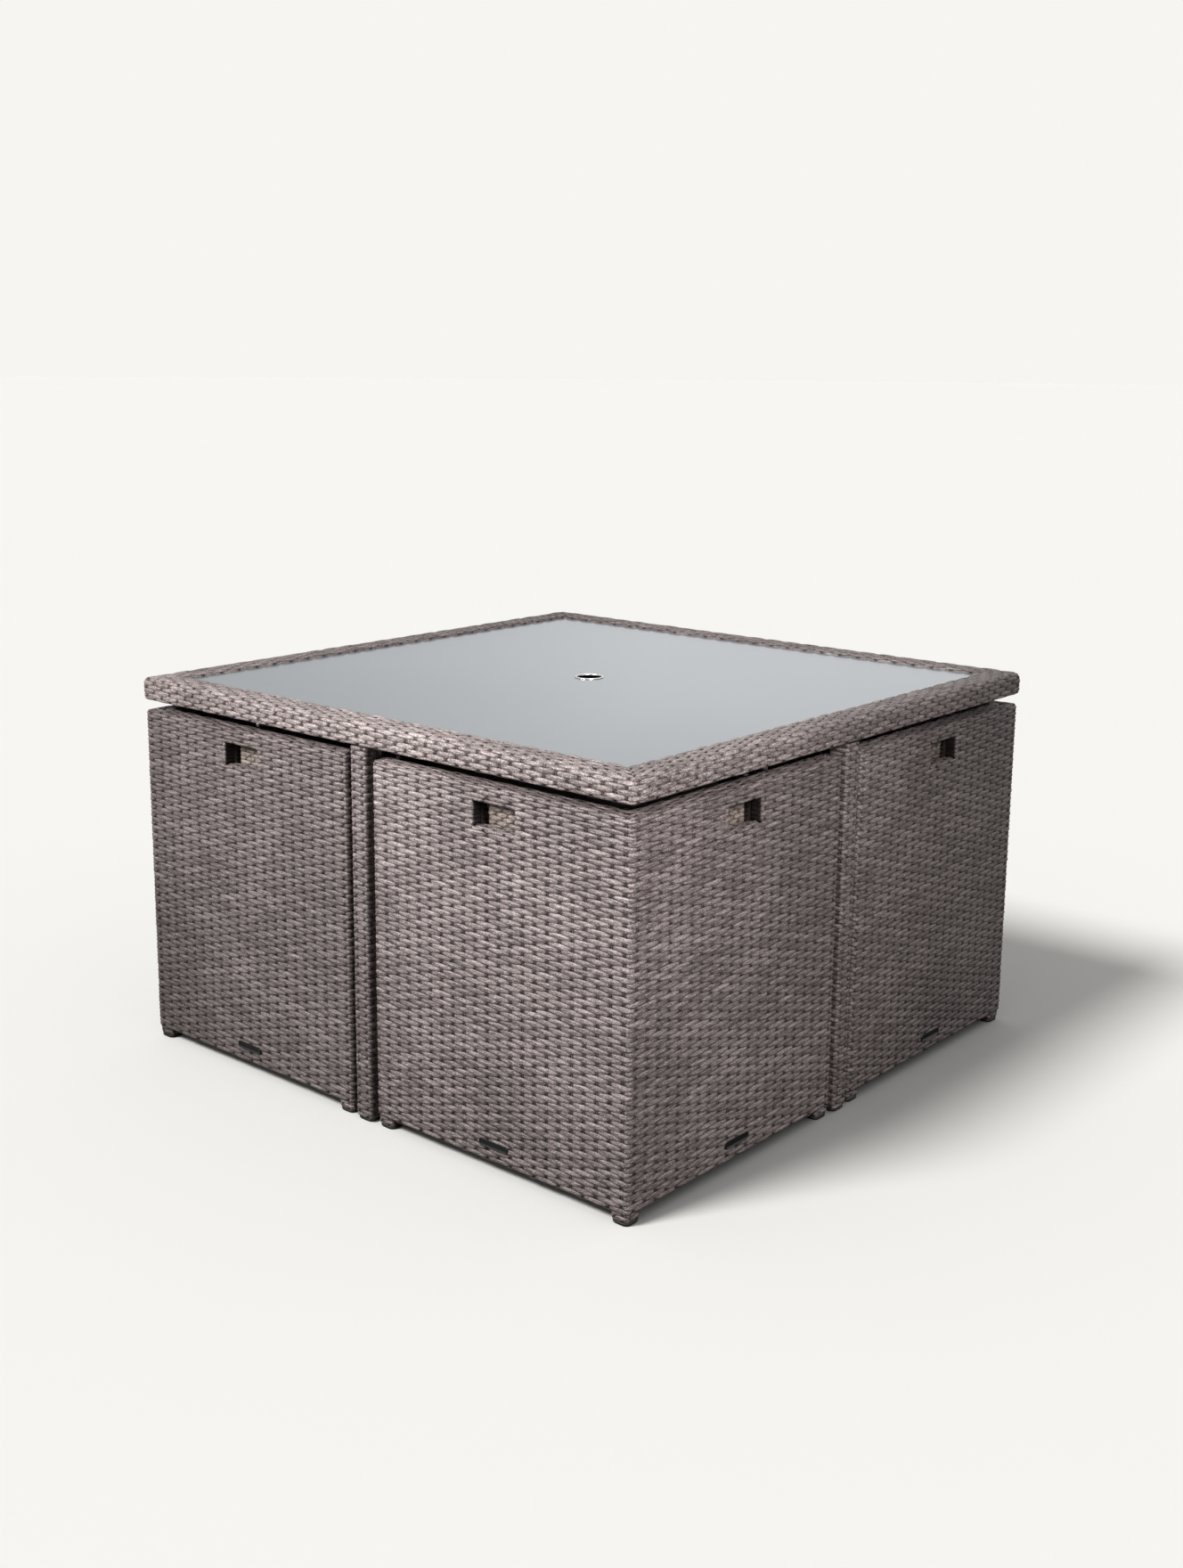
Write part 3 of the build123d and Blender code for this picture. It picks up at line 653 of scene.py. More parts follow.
def fabric_material():
    """Plain woven polyester: crossing threads at about a millimetre, slubs and a soft sheen."""
    k = Nodes("cushion_weave")
    o = k.obj()
    wx = k.new("ShaderNodeTexWave", wave_type="BANDS", bands_direction="X")
    wy = k.new("ShaderNodeTexWave", wave_type="BANDS", bands_direction="Y")
    for w in (wx, wy):
        w.inputs["Scale"].default_value = 210.0
        w.inputs["Distortion"].default_value = 1.2
        w.inputs["Detail"].default_value = 2.0
        w.inputs["Detail Scale"].default_value = 0.6
        k.link(o, w.inputs["Vector"])
    slub_x = k.noise(k.scaled(o, 40, 900, 40), 1.0, 2.0)
    slub_y = k.noise(k.scaled(o, 900, 40, 40), 1.0, 2.0)
    big = k.noise(o, 5.0, 2.0)
    th = k.math("MULTIPLY", wx.outputs["Fac"], wy.outputs["Fac"])
    a = k.math("ADD", k.math("MULTIPLY", th, 0.45), k.math("MULTIPLY", slub_x, 0.30))
    a = k.math("ADD", a, k.math("MULTIPLY", slub_y, 0.30))
    a = k.math("ADD", a, k.math("MULTIPLY", big, 0.12))
    k.link(k.ramp(a, [(0.15, srgb(112, 105, 97)), (0.5, srgb(150, 142, 131)), (0.9, srgb(178, 170, 158))]), k.b.inputs["Base Color"])
    k.link(k.math("ADD", k.math("MULTIPLY", slub_x, 0.12), 0.78), k.b.inputs["Roughness"])
    k.link(k.bump(th, 0.35, 0.0004), k.b.inputs["Normal"])
    k.set(Sheen_Weight=0.25, Sheen_Roughness=0.5)
    return k.m


M_GLASS, M_CHROME, M_RUBBER, M_FABRIC = glass_material(), chrome_material(), rubber_material(), fabric_material()

# ---------------------------------------------------------------- pieces
bodies = {"front": "chair_front", "right": "chair_right", "back": "chair_back", "left": "chair_left"}
TURNS = {"front": 0, "right": 1, "back": 2, "left": 3}


def place(me, name, body, turn=0, replaces=()):
    o = bpy.data.objects.new(name, me)
    scene.collection.objects.link(o)
    o.rotation_euler[2] = turn * math.pi / 2
    bpy.context.view_layer.update()
    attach(o, body)
    if replaces:
        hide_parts(*replaces)
    return o


PITCH = 8.1

# --- chair walls: one L shaped loop, S from the inner corner --------------------
WALL = Plan(
    [(574, -574), (32, -574), (32, -616), (616, -616), (616, -32), (574, -32)],
    [3, 10, 10, 8.5, 10, 10],
)
WALL_PROF = Profile(
    [("to", 4, 20), ("arc", 4, 24, 0, 24), ("to", 0, 668), ("arc", 8, 668, 8, 676), ("to", 21, 676)],
    (17.1, 20),
)
wall = Skin(WALL, WALL_PROF)

inner_a = [9.0] + list(np.linspace(33, 526, 19)) + [537.0]
outer_a = list(np.linspace(6.6, 569, 22))
outer_b = list(np.linspace(17.7, 571.7, 21))
STAKES = (
    [WALL.at(0, d) for d in inner_a]
    + [WALL.at(1, 14.0), WALL.at(1, 28.0)]
    + [WALL.at(2, d) for d in outer_a]
    + [WALL.at(3, d) for d in outer_b]
    + [WALL.at(4, 14.0), WALL.at(4, 28.0)]
    + [WALL.at(5, 542 - d) for d in [537.0] + list(np.linspace(526, 33, 18)) + [9.0]]
)
assert len(STAKES) % 2 == 0 and (np.diff(STAKES) > 3).all()
# rows of 8.1 mm from the underside up, so that rows meet at the openings' edges
ROW0 = 8.1
ROWS = np.concatenate([np.arange(80) * ROW0, np.linspace(79 * ROW0, WALL_PROF.total, 8)[1:]])
P_TOP = 82 * ROW0 - 1.0
LOW_ROWS = [i for i in range(len(ROWS) - 1) if (ROWS[i] + ROWS[i + 1]) / 2 <= P_TOP]
TOP_ROWS = [i for i in range(len(ROWS) - 1) if (ROWS[i] + ROWS[i + 1]) / 2 > P_TOP]
P_TOP = ROWS[TOP_ROWS[0]]
SLOT = (74 * ROW0, 79 * ROW0)
WIN = (72 * ROW0, 79 * ROW0)


def opening(edge, d0, d1, rows, depth):
    """The cut through the rows, and a flat cut through the row above and below it."""
    s0, s1 = WALL.at(edge, d0), WALL.at(edge, d1)
    lo, hi = rows
    top = ROWS[80]
    return [(s0, s1, lo, hi, depth), (s0 - 1, s1 + 1, lo - ROW0, lo, 0), (s0 - 1, s1 + 1, hi, top, 0)], (s0, s1, lo - ROW0, top, 0), (s0 - 3.6, s1 + 3.6, lo - 4.2, hi + 4.2, 0)


class Lining:
    """The lining of one opening: a rolled strand over its top and bottom edges, the floor and roof behind them, and the
    dark sleeve round all, a near-black sheet of painted shade."""

    def __init__(self, edge, d0, d1, z0, z1, depth, top_h):
        t, n = WALL.t[edge], WALL.nrm[edge]
        v = WALL.pts[edge]
        self.a, self.b = v + t * d0, v + t * d1
        self.t, self.n, self.z0, self.z1, self.depth, self.top_h = t, n, z0, z1, depth, top_h

    def build(self, bin_, seed, cell):
        plan = Plan([self.a - self.t * 3.0, self.b + self.t * 3.0], [0, 0], closed=False)
        L = plan.total
        cu = np.linspace(cell[1], cell[3], 4)
        low = Profile([("to", 0, self.z0 - TURN), ("arc", TURN, self.z0 - TURN, TURN, self.z0), ("to", self.depth, self.z0)], (0, self.z0 - ROW0))
        st = list(np.linspace(2, L - 2, 5))
        sk = Skin(plan, low)
        weave(bin_, sk, st, even_rows(0, low.total, 8.4), seed, None, (), (cell[0], cu[0], cell[2], cu[1]), amp=1.1, base=-1.1, closed=False, wobble=0.05)
        high = Profile([("to", TURN, self.z1), ("arc", TURN, self.z1 + TURN, 0, self.z1 + TURN), ("to", 0, self.z1 + self.top_h)], (self.depth, self.z1))
        sk = Skin(plan, high)
        bounds = even_rows(0, high.total, 8.4)
        weave(bin_, sk, st, bounds, seed + 1, None, (), (cell[0], cu[1], cell[2], cu[2]), amp=0.55, base=-0.5, closed=False, wobble=0.05)
        # sleeve: a near-black sheet of painted shade round the opening
        g = 3.4
        a, b = self.a - self.t * g, self.b + self.t * g
        ring = np.array([[*a, self.z0 - g], [*b, self.z0 - g], [*b, self.z1 + g], [*a, self.z1 + g], [*a, self.z0 - g]])
        n3 = np.array([*self.n, 0.0])
        P = np.stack([ring - n3 * 4.4, ring - n3 * (self.depth + 0.5)], 1)[None]
        uv = np.stack(np.meshgrid(np.linspace(cell[0], cell[2], 5), np.linspace(cu[2] + 0.001, cu[3], 2), indexing="ij"), -1)[None]
        bin_.grid(P, np.zeros((1, 5, 2, 3)), 0.3, 1.0, uv, 1)


def z_of(p):
    return float(WALL_PROF(p)[1])


OUT_CUTS, OUT_STAKE, OUT_BACK = [], [], []
IN_CUTS, IN_STAKE, IN_BACK = [], [], []
for e_, a_, b_ in ((2, 245, 337), (3, 247, 339)):
    c_, s_, k_ = opening(e_, a_, b_, SLOT, 24.0)
    OUT_CUTS += c_
    OUT_STAKE.append(s_)
    OUT_BACK.append(k_)
for e_, a_, b_ in ((0, 201, 301), (5, 241, 341)):
    c_, s_, k_ = opening(e_, a_, b_, WIN, 15.0)
    IN_CUTS += c_
    IN_STAKE.append(s_)
    IN_BACK.append(k_)
S_A, S_B = WALL.at(0, 526.0), WALL.at(5, 16.0)
SEED_WALL = 71

outer = Bin()
weave(outer, wall, STAKES, ROWS, SEED_WALL, (S_A, S_B), OUT_CUTS,
      (0.0, 0.0, 1.0, 0.84), rows=LOW_ROWS, uv_p=(0, P_TOP))
weave(outer, wall, STAKES, ROWS, SEED_WALL, None, (),
      (0.0, 0.842, 1.0, 0.90), rows=TOP_ROWS, uv_p=(P_TOP, WALL_PROF.total), wobble=0.1)
stake_strips(outer, wall, STAKES, 0, WALL_PROF.total, 5, (S_A, S_B), OUT_STAKE, (0.0, 0.91, 0.5, 1.0))
stake_strips(outer, wall, [s for s in STAKES if not S_A - 3 <= s <= S_B + 3], P_TOP - 6, WALL_PROF.total, 6, None, (),
             (0.5, 0.96, 0.75, 1.0))
backing(outer, wall, 0, WALL_PROF.total, S_A, S_B, OUT_BACK, (0.51, 0.91, 0.74, 0.95), mi=1)
backing(outer, wall, P_TOP - 6, WALL_PROF.total, S_B, S_A + WALL.total, (), (0.76, 0.91, 0.99, 0.95), mi=1)
for n_, (e_, a_, b_) in enumerate(((2, 245, 337), (3, 247, 339))):
    Lining(e_, a_, b_, z_of(SLOT[0]), z_of(SLOT[1]), 24.0, z_of(ROWS[80]) - z_of(ROWS[79])).build(
        outer, 21 + 3 * n_, (0.76 + 0.12 * n_, 0.955, 0.87 + 0.12 * n_, 0.998))

inner = Bin()


def turned(stakes, cut):
    """The same stakes, counted from a later one, so that a range may cross S = 0."""
    k = next(i for i, s in enumerate(stakes) if s >= cut)
    return stakes[k:] + [s + WALL.total for s in stakes[:k]], k


def onward(cuts):
    return [(a + WALL.total, b + WALL.total, *r) if a < WALL.at(1, 0) else (a, b, *r) for a, b, *r in cuts]


in_stakes, in_first = turned(STAKES, WALL.at(4, 20.0))
weave(inner, wall, in_stakes, ROWS, SEED_WALL + 1, (S_B, S_A + WALL.total), onward(IN_CUTS),
      (0.0, 0.0, 1.0, 0.90), rows=LOW_ROWS, first=in_first, uv_p=(0, P_TOP))
stake_strips(inner, wall, in_stakes, 0, P_TOP, 7, (S_B, S_A + WALL.total), onward(IN_STAKE), (0.0, 0.91, 0.5, 1.0))
backing(inner, wall, 0, P_TOP, S_B, S_A + WALL.total, onward(IN_BACK), (0.51, 0.91, 0.74, 1.0), mi=1)
for n_, (e_, a_, b_) in enumerate(((0, 201, 301), (5, 241, 341))):
    Lining(e_, a_, b_, z_of(WIN[0]), z_of(WIN[1]), 15.0, z_of(ROWS[80]) - z_of(ROWS[79])).build(
        inner, 31 + 3 * n_, (0.76 + 0.12 * n_, 0.91, 0.87 + 0.12 * n_, 0.998))

outer_me = outer.mesh("chair_outer_weave", [M_RATTAN, M_SHADE_SHEET])
inner_me = inner.mesh("chair_inner_weave", [M_RATTAN, M_SHADE_SHEET])
for k, t in TURNS.items():
    place(outer_me, f"chair_{k}_woven_outside", bodies[k], t, [f"chair_{k}_outer_weave"])
    place(inner_me, f"chair_{k}_woven_inside", bodies[k], t, [f"chair_{k}_inner_weave"])

# --- square wraps: legs, posts, feet, grips ---------------------------------------
def wrap(bin_, x0, x1, y0, y1, prof, per_x, per_y, radius, seed, cell, pitch=PITCH, amp=1.5, inset0=0.0):
    plan = Plan([(x0, y0), (x1, y0), (x1, y1), (x0, y1)], radius)
    skin = Skin(plan, prof)
    st = []
    for e in range(4):
        L = (x1 - x0) if e % 2 == 0 else (y1 - y0)
        n = per_x if e % 2 == 0 else per_y
        st += [plan.at(e, L * (0.26 + 0.48 * k / max(n - 1, 1)) if n > 1 else L * 0.5) for k in range(n)]
    if len(st) % 2:
        st.append((st[-1] + plan.total + st[0]) / 2)
    v = cell[3] - cell[1]
    weave(bin_, skin, st, even_rows(0, prof.total, pitch), seed, None, (), (cell[0], cell[1], cell[2], cell[1] + v * 0.88), amp=amp, base=-amp, wobble=0.1)
    stake_strips(bin_, skin, st, 0, prof.total, seed + 1, None, (), (cell[0], cell[1] + v * 0.89, cell[2], cell[1] + v * 0.95), out=-amp - 0.2)
    backing(bin_, skin, 0, prof.total, 0, plan.total, (), (cell[0], cell[1] + v * 0.955, cell[2], cell[3]), out=-2 * amp - 1.4, mi=1)
    return skin


post = Bin()
post_prof = Profile([("arc", 3.5, 9.5, 0, 9.5), ("to", 0, 694.0)], (3.5, 6.0))
wrap(post, -21, 21, -618, -576, post_prof, 2, 2, 8, 31, (0, 0, 1, 1))
post_me = post.mesh("table_leg_weave", [M_RATTAN, M_SHADE_SHEET])
for k, t in TURNS.items():
    place(post_me, f"table_leg_{k}_woven", "table", t, [f"table_leg_{k}_weave"])

wraps = Bin()
leg_prof = Profile([("arc", 3, 9, 0, 9), ("to", 0, 366)], (3, 6))
wrap(wraps, 32, 74, -74, -32, leg_prof, 2, 2, 8, 41, (0, 0, 1, 0.7))
foot_prof = Profile([("arc", 4.5, 10.5, 0, 10.5), ("to", 0, 22)], (4.5, 6.0))
for n, (fx, fy) in enumerate(((53, -595), (595, -595), (595, -53))):
    wrap(wraps, fx - 18.5, fx + 18.5, fy - 18.5, fy + 18.5, foot_prof, 2, 2, 8, 45 + n, (0.33 * n, 0.72, 0.33 * n + 0.3, 1.0), pitch=7.2, amp=0.9)
wraps_me = wraps.mesh("chair_wraps", [M_RATTAN, M_SHADE_SHEET])
for k, t in TURNS.items():
    place(wraps_me, f"chair_{k}_woven_leg_and_feet", bodies[k], t, [f"chair_{k}_leg_and_foot_wraps"])

grips = Bin()
grip_prof = Profile([("arc", 4, 601, 0, 601), ("to", 0, 633), ("arc", 12, 633, 9, 644.6)], (4, 597))
for n, (gx0, gx1, gy0, gy1) in enumerate(((284, 362, -589, -574), (574, 589, -362, -284))):
    px, py = (4, 1) if n == 0 else (1, 4)
    wrap(grips, gx0, gx1, gy0, gy1, grip_prof, px, py, 6.5, 51 + n, (0, 0.5 * n, 1, 0.5 * n + 0.48), pitch=8.0, amp=1.0)
grips_me = grips.mesh("chair_grips", [M_GRIP_LIT, M_SHADE_SHEET])
for k, t in TURNS.items():
    place(grips_me, f"chair_{k}_woven_grips", bodies[k], t, [f"chair_{k}_hand_grips"])

# --- seat ------------------------------------------------------------------------
seat = Bin()
lip_plan = Plan([(574, -32), (32, -32), (32, -574)], [0, 8, 0], closed=False)
lip_prof = Profile([("to", 0, 401), ("arc", 5, 401, 5, 406), ("to", 9, 406)], (0, 366))
lip = Skin(lip_plan, lip_prof)
lip_st = [lip_plan.at(0, d) for d in np.linspace(3, 527, 20)] + [lip_plan.at(1, d) for d in np.linspace(15, 539, 20)]
weave(seat, lip, lip_st, even_rows(0, lip_prof.total, PITCH), 61, None, (), (0, 0.86, 1, 0.95), closed=False)
stake_strips(seat, lip, lip_st, 0, lip_prof.total, 62, None, (), (0, 0.955, 0.5, 0.975))
backing(seat, lip, 0, lip_prof.total, 0, lip_plan.total, (), (0.5, 0.955, 1, 0.975), mi=1)
# the flat seat: rows run along x, counted across y
top_plan = Plan([(41, -1), (574, -1)], [0, 0], closed=False)
top_prof = Profile([("to", 0, -41)], (0, -574))
seat_skin = Skin(top_plan, top_prof, [[1, 0, 0], [0, 0, 1], [0, -1, 0]], (0, 0, 405))
top_st = [top_plan.at(0, d) for d in np.linspace(4, 529, 20)]
weave(seat, seat_skin, top_st, even_rows(0, top_prof.total, PITCH), 63, None, (), (0, 0, 1, 0.85), closed=False)
stake_strips(seat, seat_skin, top_st, 0, top_prof.total, 64, None, (), (0, 0.98, 0.5, 1.0), step=90)
backing(seat, seat_skin, 0, top_prof.total, 0, top_plan.total, (), (0.5, 0.98, 1, 1.0), mi=1)
seat_me = seat.mesh("chair_seat_weave", [M_RATTAN, M_SHADE_SHEET])
for k, t in TURNS.items():
    place(seat_me, f"chair_{k}_woven_seat", bodies[k], t, [f"chair_{k}_seat_weave"])

# --- table rim -------------------------------------------------------------------
rim = Bin()
H = 620.0
RIM = Plan([(-H, -H), (H, -H), (H, H), (-H, H)], 13)
RIM_PROF = Profile(
    [("to", 9, 694), ("arc", 9, 703, 0, 703), ("to", 0, 726), ("arc", 14, 726, 14, 740), ("to", 55.5, 740), ("arc", 55.5, 735, 60.5, 735), ("to", 60.5, 729.5)],
    (40, 694),
)
rim_skin = Skin(RIM, RIM_PROF)
per = [16.0] + list(np.linspace(39, 1201, 49)) + [1224.0]
rim_st = [RIM.at(e, d) for e in range(4) for d in per]
if len(rim_st) % 2:
    rim_st = rim_st[:-1]
weave(rim, rim_skin, rim_st, even_rows(0, RIM_PROF.total, 8.7), 81, None, (), (0, 0, 1, 0.9))
stake_strips(rim, rim_skin, rim_st, 0, RIM_PROF.total, 82, None, (), (0, 0.905, 1, 0.96), step=12)
backing(rim, rim_skin, 0, RIM_PROF.total, 0, RIM.total, (), (0, 0.965, 1, 1.0), mi=1)
rim_me = rim.mesh("table_rim", [M_RIM, M_SHADE_SHEET])
place(rim_me, "table_rim_woven", "table", 0, ["table_rim_weave"])


# --- blank plates: a raised rim round a sunk field --------------------------------
def plate_mesh():
    b = Bin()
    for face in ("A", "B"):
        plan = Plan([(-33, 45), (33, 45), (33, 59), (-33, 59)], 5.5)
        prof = Profile([("to", 0, 0.9), ("arc", 0.6, 0.9, 0.6, 1.5), ("to", 1.4, 1.5), ("to", 1.7, 1.1), ("to", 6.4, 1.1)], (0, 0))
        axes = [[1, 0, 0], [0, 0, -1], [0, 1, 0]] if face == "A" else [[0, 0, 1], [1, 0, 0], [0, 1, 0]]
        origin = (323, -616.0, 0) if face == "A" else (616.0, -323, 0)
        skin = Skin(plan, prof, axes, origin)
        ss = np.array(sorted({0.0, plan.total} | {a + (c - a) * q for a, c in plan.arcs() for q in np.linspace(0, 1, 7)}))
        Sg, pg = np.meshgrid(ss, prof.p, indexing="ij")
        P = skin.at(Sg, pg, 0.0)[None]
        uv = np.stack([Sg / plan.total, pg / prof.total], -1)[None]
        b.grid(P, np.stack([Sg * MM, pg * 0, pg * 0], -1)[None], 0.5, 0.0, uv, 0, flip=skin.flip)
        # the field between the two long sides
        x = np.linspace(-26.6, 26.6, 9)
        X, Y = np.meshgrid(x, np.array([51.4, 52.0, 52.6]), indexing="ij")
        Q = np.stack([X, Y, np.full_like(X, 1.1)], -1) @ np.array(axes, float).T + np.array(origin)
        b.grid(Q[None], np.zeros((1, 9, 3, 3)), 0.5, 0.0, np.stack([X * 0 + 0.5, Y * 0 + 0.5], -1)[None], 0, flip=skin.flip)
    return b.mesh("blank_plate", [M_PLATE])


plate_me = plate_mesh()
for k, t in TURNS.items():
    place(plate_me, f"chair_{k}_plates", bodies[k], t, [f"chair_{k}_blank_plates"])


# --- foot caps ------------------------------------------------------------------
def glide_mesh(name, spots, half, radius):
    b = Bin()
    prof = Profile([("to", 3.5, 0.2), ("arc", 3.5, 3.6, 0.2, 3.6), ("to", 0.2, 4.6), ("arc", 1.6, 4.6, 1.6, 6.0), ("to", half - 2, 6.0)], (half - 2, 0.2))
    for n, (cx, cy) in enumerate(spots):
        plan = Plan([(cx - half, cy - half), (cx + half, cy - half), (cx + half, cy + half), (cx - half, cy + half)], radius)
        skin = Skin(plan, prof)
        ss = np.array(sorted({0.0, plan.total} | {a + (c - a) * q for a, c in plan.arcs() for q in np.linspace(0, 1, 7)}))
        Sg, pg = np.meshgrid(ss, prof.p, indexing="ij")
        uv = np.stack([(n + Sg / plan.total * 0.96) / len(spots), pg / prof.total], -1)[None]
        b.grid(skin.at(Sg, pg, 0.0)[None], np.stack([Sg * MM, pg * 0, pg * 0], -1)[None], 0.5, 0.0, uv, 0, flip=skin.flip)
    return b.mesh(name, [M_FOOT])


cap_me = glide_mesh("foot_caps", [(53, -595), (595, -595), (595, -53), (53, -53)], 17.8, 11)
for k, t in TURNS.items():
    place(cap_me, f"chair_{k}_foot_caps", bodies[k], t, [f"chair_{k}_foot_glides"])
legcap_me = glide_mesh("leg_caps", [(0, -597), (597, 0), (0, 597), (-597, 0)], 18.8, 10)
place(legcap_me, "table_leg_caps", "table", 0, ["table_leg_glides"])


# --- parasol ring, turned --------------------------------------------------------
def lathe(name, pts, steps, mat, dep, centre=(0, 0, 0)):
    b = Bin()
    th = np.linspace(0, 2 * math.pi, steps + 1)
    r, z = np.array(pts, float).T
    P = np.stack([np.cos(th)[:, None] * r[None], np.sin(th)[:, None] * r[None], np.broadcast_to(z[None], (len(th), len(z)))], -1) + np.array(centre)
    uv = np.stack(np.meshgrid(th / (2 * math.pi), np.linspace(0, 1, len(z)), indexing="ij"), -1)
    b.grid(P[None], np.zeros((1, len(th), len(z), 3)), 0.5, np.array(dep, float)[None, None, :], uv[None], 0)
    return b.mesh(name, [mat])


# the last values of the list below are painted shade, darkening the bore towards its bottom
ring_me = lathe("parasol_ring_turned", [(26, 722), (26, 733.6), (26.6, 734.0), (28.6, 734.0), (29.1, 734.4), (29.1, 735.2), (28.7, 735.9), (27.9, 736.3),
                                        (26.4, 736.4), (25.2, 736.1), (24.5, 735.4), (24.2, 734.4), (24.15, 731.5), (24.1, 722)], 96, M_CHROME,
                [0, 0, 0, 0, 0, 0, 0, 0, 0, 0, 0.1, 0.45, 0.95, 1.0])
place(ring_me, "parasol_ring_polished", "table", 0, ["parasol_ring"])


# --- cushions ----------------------------------------------------------------------
def cushion_mesh():
    """A boxed seat pad: pressed out from a thinner block, then seams and piping."""
    half, z0, z1, r = 262.0, 406.5, 466.5, 34.0
    nx, nz = 40, 7
    me = bpy.data.meshes.new("cushion_start")
    import bmesh
    bm = bmesh.new()
    bmesh.ops.create_cube(bm, size=1.0)
    for v in bm.verts:
        v.co.x *= (2 * half - 12) * MM
        v.co.y *= (2 * half - 12) * MM
        v.co.z *= (z1 - z0 - 15) * MM
    bmesh.ops.bevel(bm, geom=[e for e in bm.edges if abs(e.verts[0].co.z - e.verts[1].co.z) > 0.02], offset=r * MM, segments=6, affect="EDGES")
    bmesh.ops.bevel(bm, geom=[e for e in bm.edges if abs(e.verts[0].co.z - e.verts[1].co.z) < 1e-6 and len(e.link_faces) == 2
                              and abs(abs(e.link_faces[0].normal.z) - abs(e.link_faces[1].normal.z)) > 0.5], offset=5 * MM, segments=2, affect="EDGES")
    bm.to_mesh(me)
    bm.free()
    o = bpy.data.objects.new("cushion_work", me)
    scene.collection.objects.link(o)
    o.location = (303 * MM, -303 * MM, (z0 + z1) / 2 * MM)
    bpy.context.view_layer.objects.active = o
    o.select_set(True)
    rem = o.modifiers.new("r", "REMESH")
    rem.mode = "VOXEL"
    rem.voxel_size = 0.0065
    rem.use_smooth_shade = True
    bpy.ops.object.modifier_apply(modifier="r")
    start = np.zeros(len(o.data.vertices) * 3, np.float32)
    o.data.vertices.foreach_get("co", start)
    start = start.reshape(-1, 3)
    cl = o.modifiers.new("cloth", "CLOTH")
    s = cl.settings
    s.quality = 5
    s.mass = 0.3
    s.tension_stiffness = s.compression_stiffness = 25
    s.bending_stiffness = 4
    s.use_pressure = True
    s.uniform_pressure_force = 4.0
    s.effector_weights.gravity = 0
    cl.point_cache.frame_start, cl.point_cache.frame_end = 1, 20
    for fr in range(1, 21):
        scene.frame_set(fr)
    bpy.ops.object.modifier_apply(modifier="cloth")
    scene.frame_set(1)
    co = np.zeros(len(o.data.vertices) * 3, np.float32)
    o.data.vertices.foreach_get("co", co)
    co = co.reshape(-1, 3)
    move = co - start
    ln = np.linalg.norm(move, axis=1)
    move *= np.minimum(1, 0.016 / np.maximum(ln, 1e-9))[:, None]
    move[:, :2] *= 0.4
    # even out the swelling over its neighbours
    ed = np.zeros(len(o.data.edges) * 2, np.int32)
    o.data.edges.foreach_get("vertices", ed)
    ed = ed.reshape(-1, 2)
    deg = np.bincount(ed.ravel(), minlength=len(co)).astype(float)
    for _ in range(14):
        acc = np.stack([np.bincount(ed[:, 0], move[ed[:, 1], i], len(co)) + np.bincount(ed[:, 1], move[ed[:, 0], i], len(co)) for i in range(3)], 1)
        move = 0.5 * move + 0.5 * acc / deg[:, None]
    co = start + move
    # sides pull in between the corners, the underside lies flat on the seat
    hx = half * MM
    for a, b in ((0, 1), (1, 0)):
        pull = 0.005 * np.clip(1 - (co[:, b] / (hx * 0.95)) ** 2, 0, 1) * np.clip((np.abs(co[:, a]) / hx - 0.75) / 0.25, 0, 1)
        co[:, a] -= np.sign(co[:, a]) * pull
    lim = 0.0298
    low = co[:, 2] < 0
    co[low, 2] = np.maximum(co[low, 2], -lim)
    co[~low, 2] = np.minimum(co[~low, 2], lim + 0.006)
    co[:, 0] = np.clip(co[:, 0], -hx + 0.001, hx - 0.001)
    co[:, 1] = np.clip(co[:, 1], -hx + 0.001, hx - 0.001)
    # soft creases fanning in from the corners
    ang = np.arctan2(co[:, 1], co[:, 0])
    rad = np.hypot(co[:, 0], co[:, 1]) / hx
    wr = np.sin(ang * 34 + 3 * np.sin(ang * 9)) * np.clip(rad - 0.72, 0, 0.5) * np.exp(-((np.abs(np.abs(ang) % (math.pi / 2) - math.pi / 4)) / 0.22) ** 2)
    co[:, 2] += 0.0026 * wr * (co[:, 2] > 0.012)
    o.data.vertices.foreach_set("co", co.astype(np.float32).ravel())
    for p in o.data.polygons:
        p.use_smooth = True
    o.data.update()
    # the seam ring's height all round, for the piping
    me2 = o.data
    me2.transform(Matrix.Translation(o.location))
    me2.materials.clear()
    me2.materials.append(M_FABRIC)
    me2.name = "cushion"
    bpy.data.objects.remove(o)
    return me2, co


def tube_mesh(name, pts, radius, mat, sides=8):
    """A closed cord of the given radius along a closed line of points (mm)."""
    b = Bin()
    pts = np.array(pts, float)
    n = len(pts)
    t = np.roll(pts, -1, 0) - np.roll(pts, 1, 0)
    t /= np.linalg.norm(t, axis=1)[:, None]
    up = np.array([0, 0, 1.0])
    side = np.cross(t, up)
    side /= np.linalg.norm(side, axis=1)[:, None]
    upv = np.cross(side, t)
    th = np.linspace(0, 2 * math.pi, sides + 1)
    P = pts[:, None] + radius * (np.cos(th)[None, :, None] * side[:, None] + np.sin(th)[None, :, None] * upv[:, None])
    P = np.concatenate([P, P[:1]])
    uv = np.stack(np.meshgrid(np.linspace(0, 1, n + 1), np.linspace(0, 1, sides + 1), indexing="ij"), -1)
    b.grid(P[None], np.zeros((1, n + 1, sides + 1, 3)), 0.5, 0.0, uv[None], 0, flip=True)
    return b


cushion_me, cushion_co = cushion_mesh()


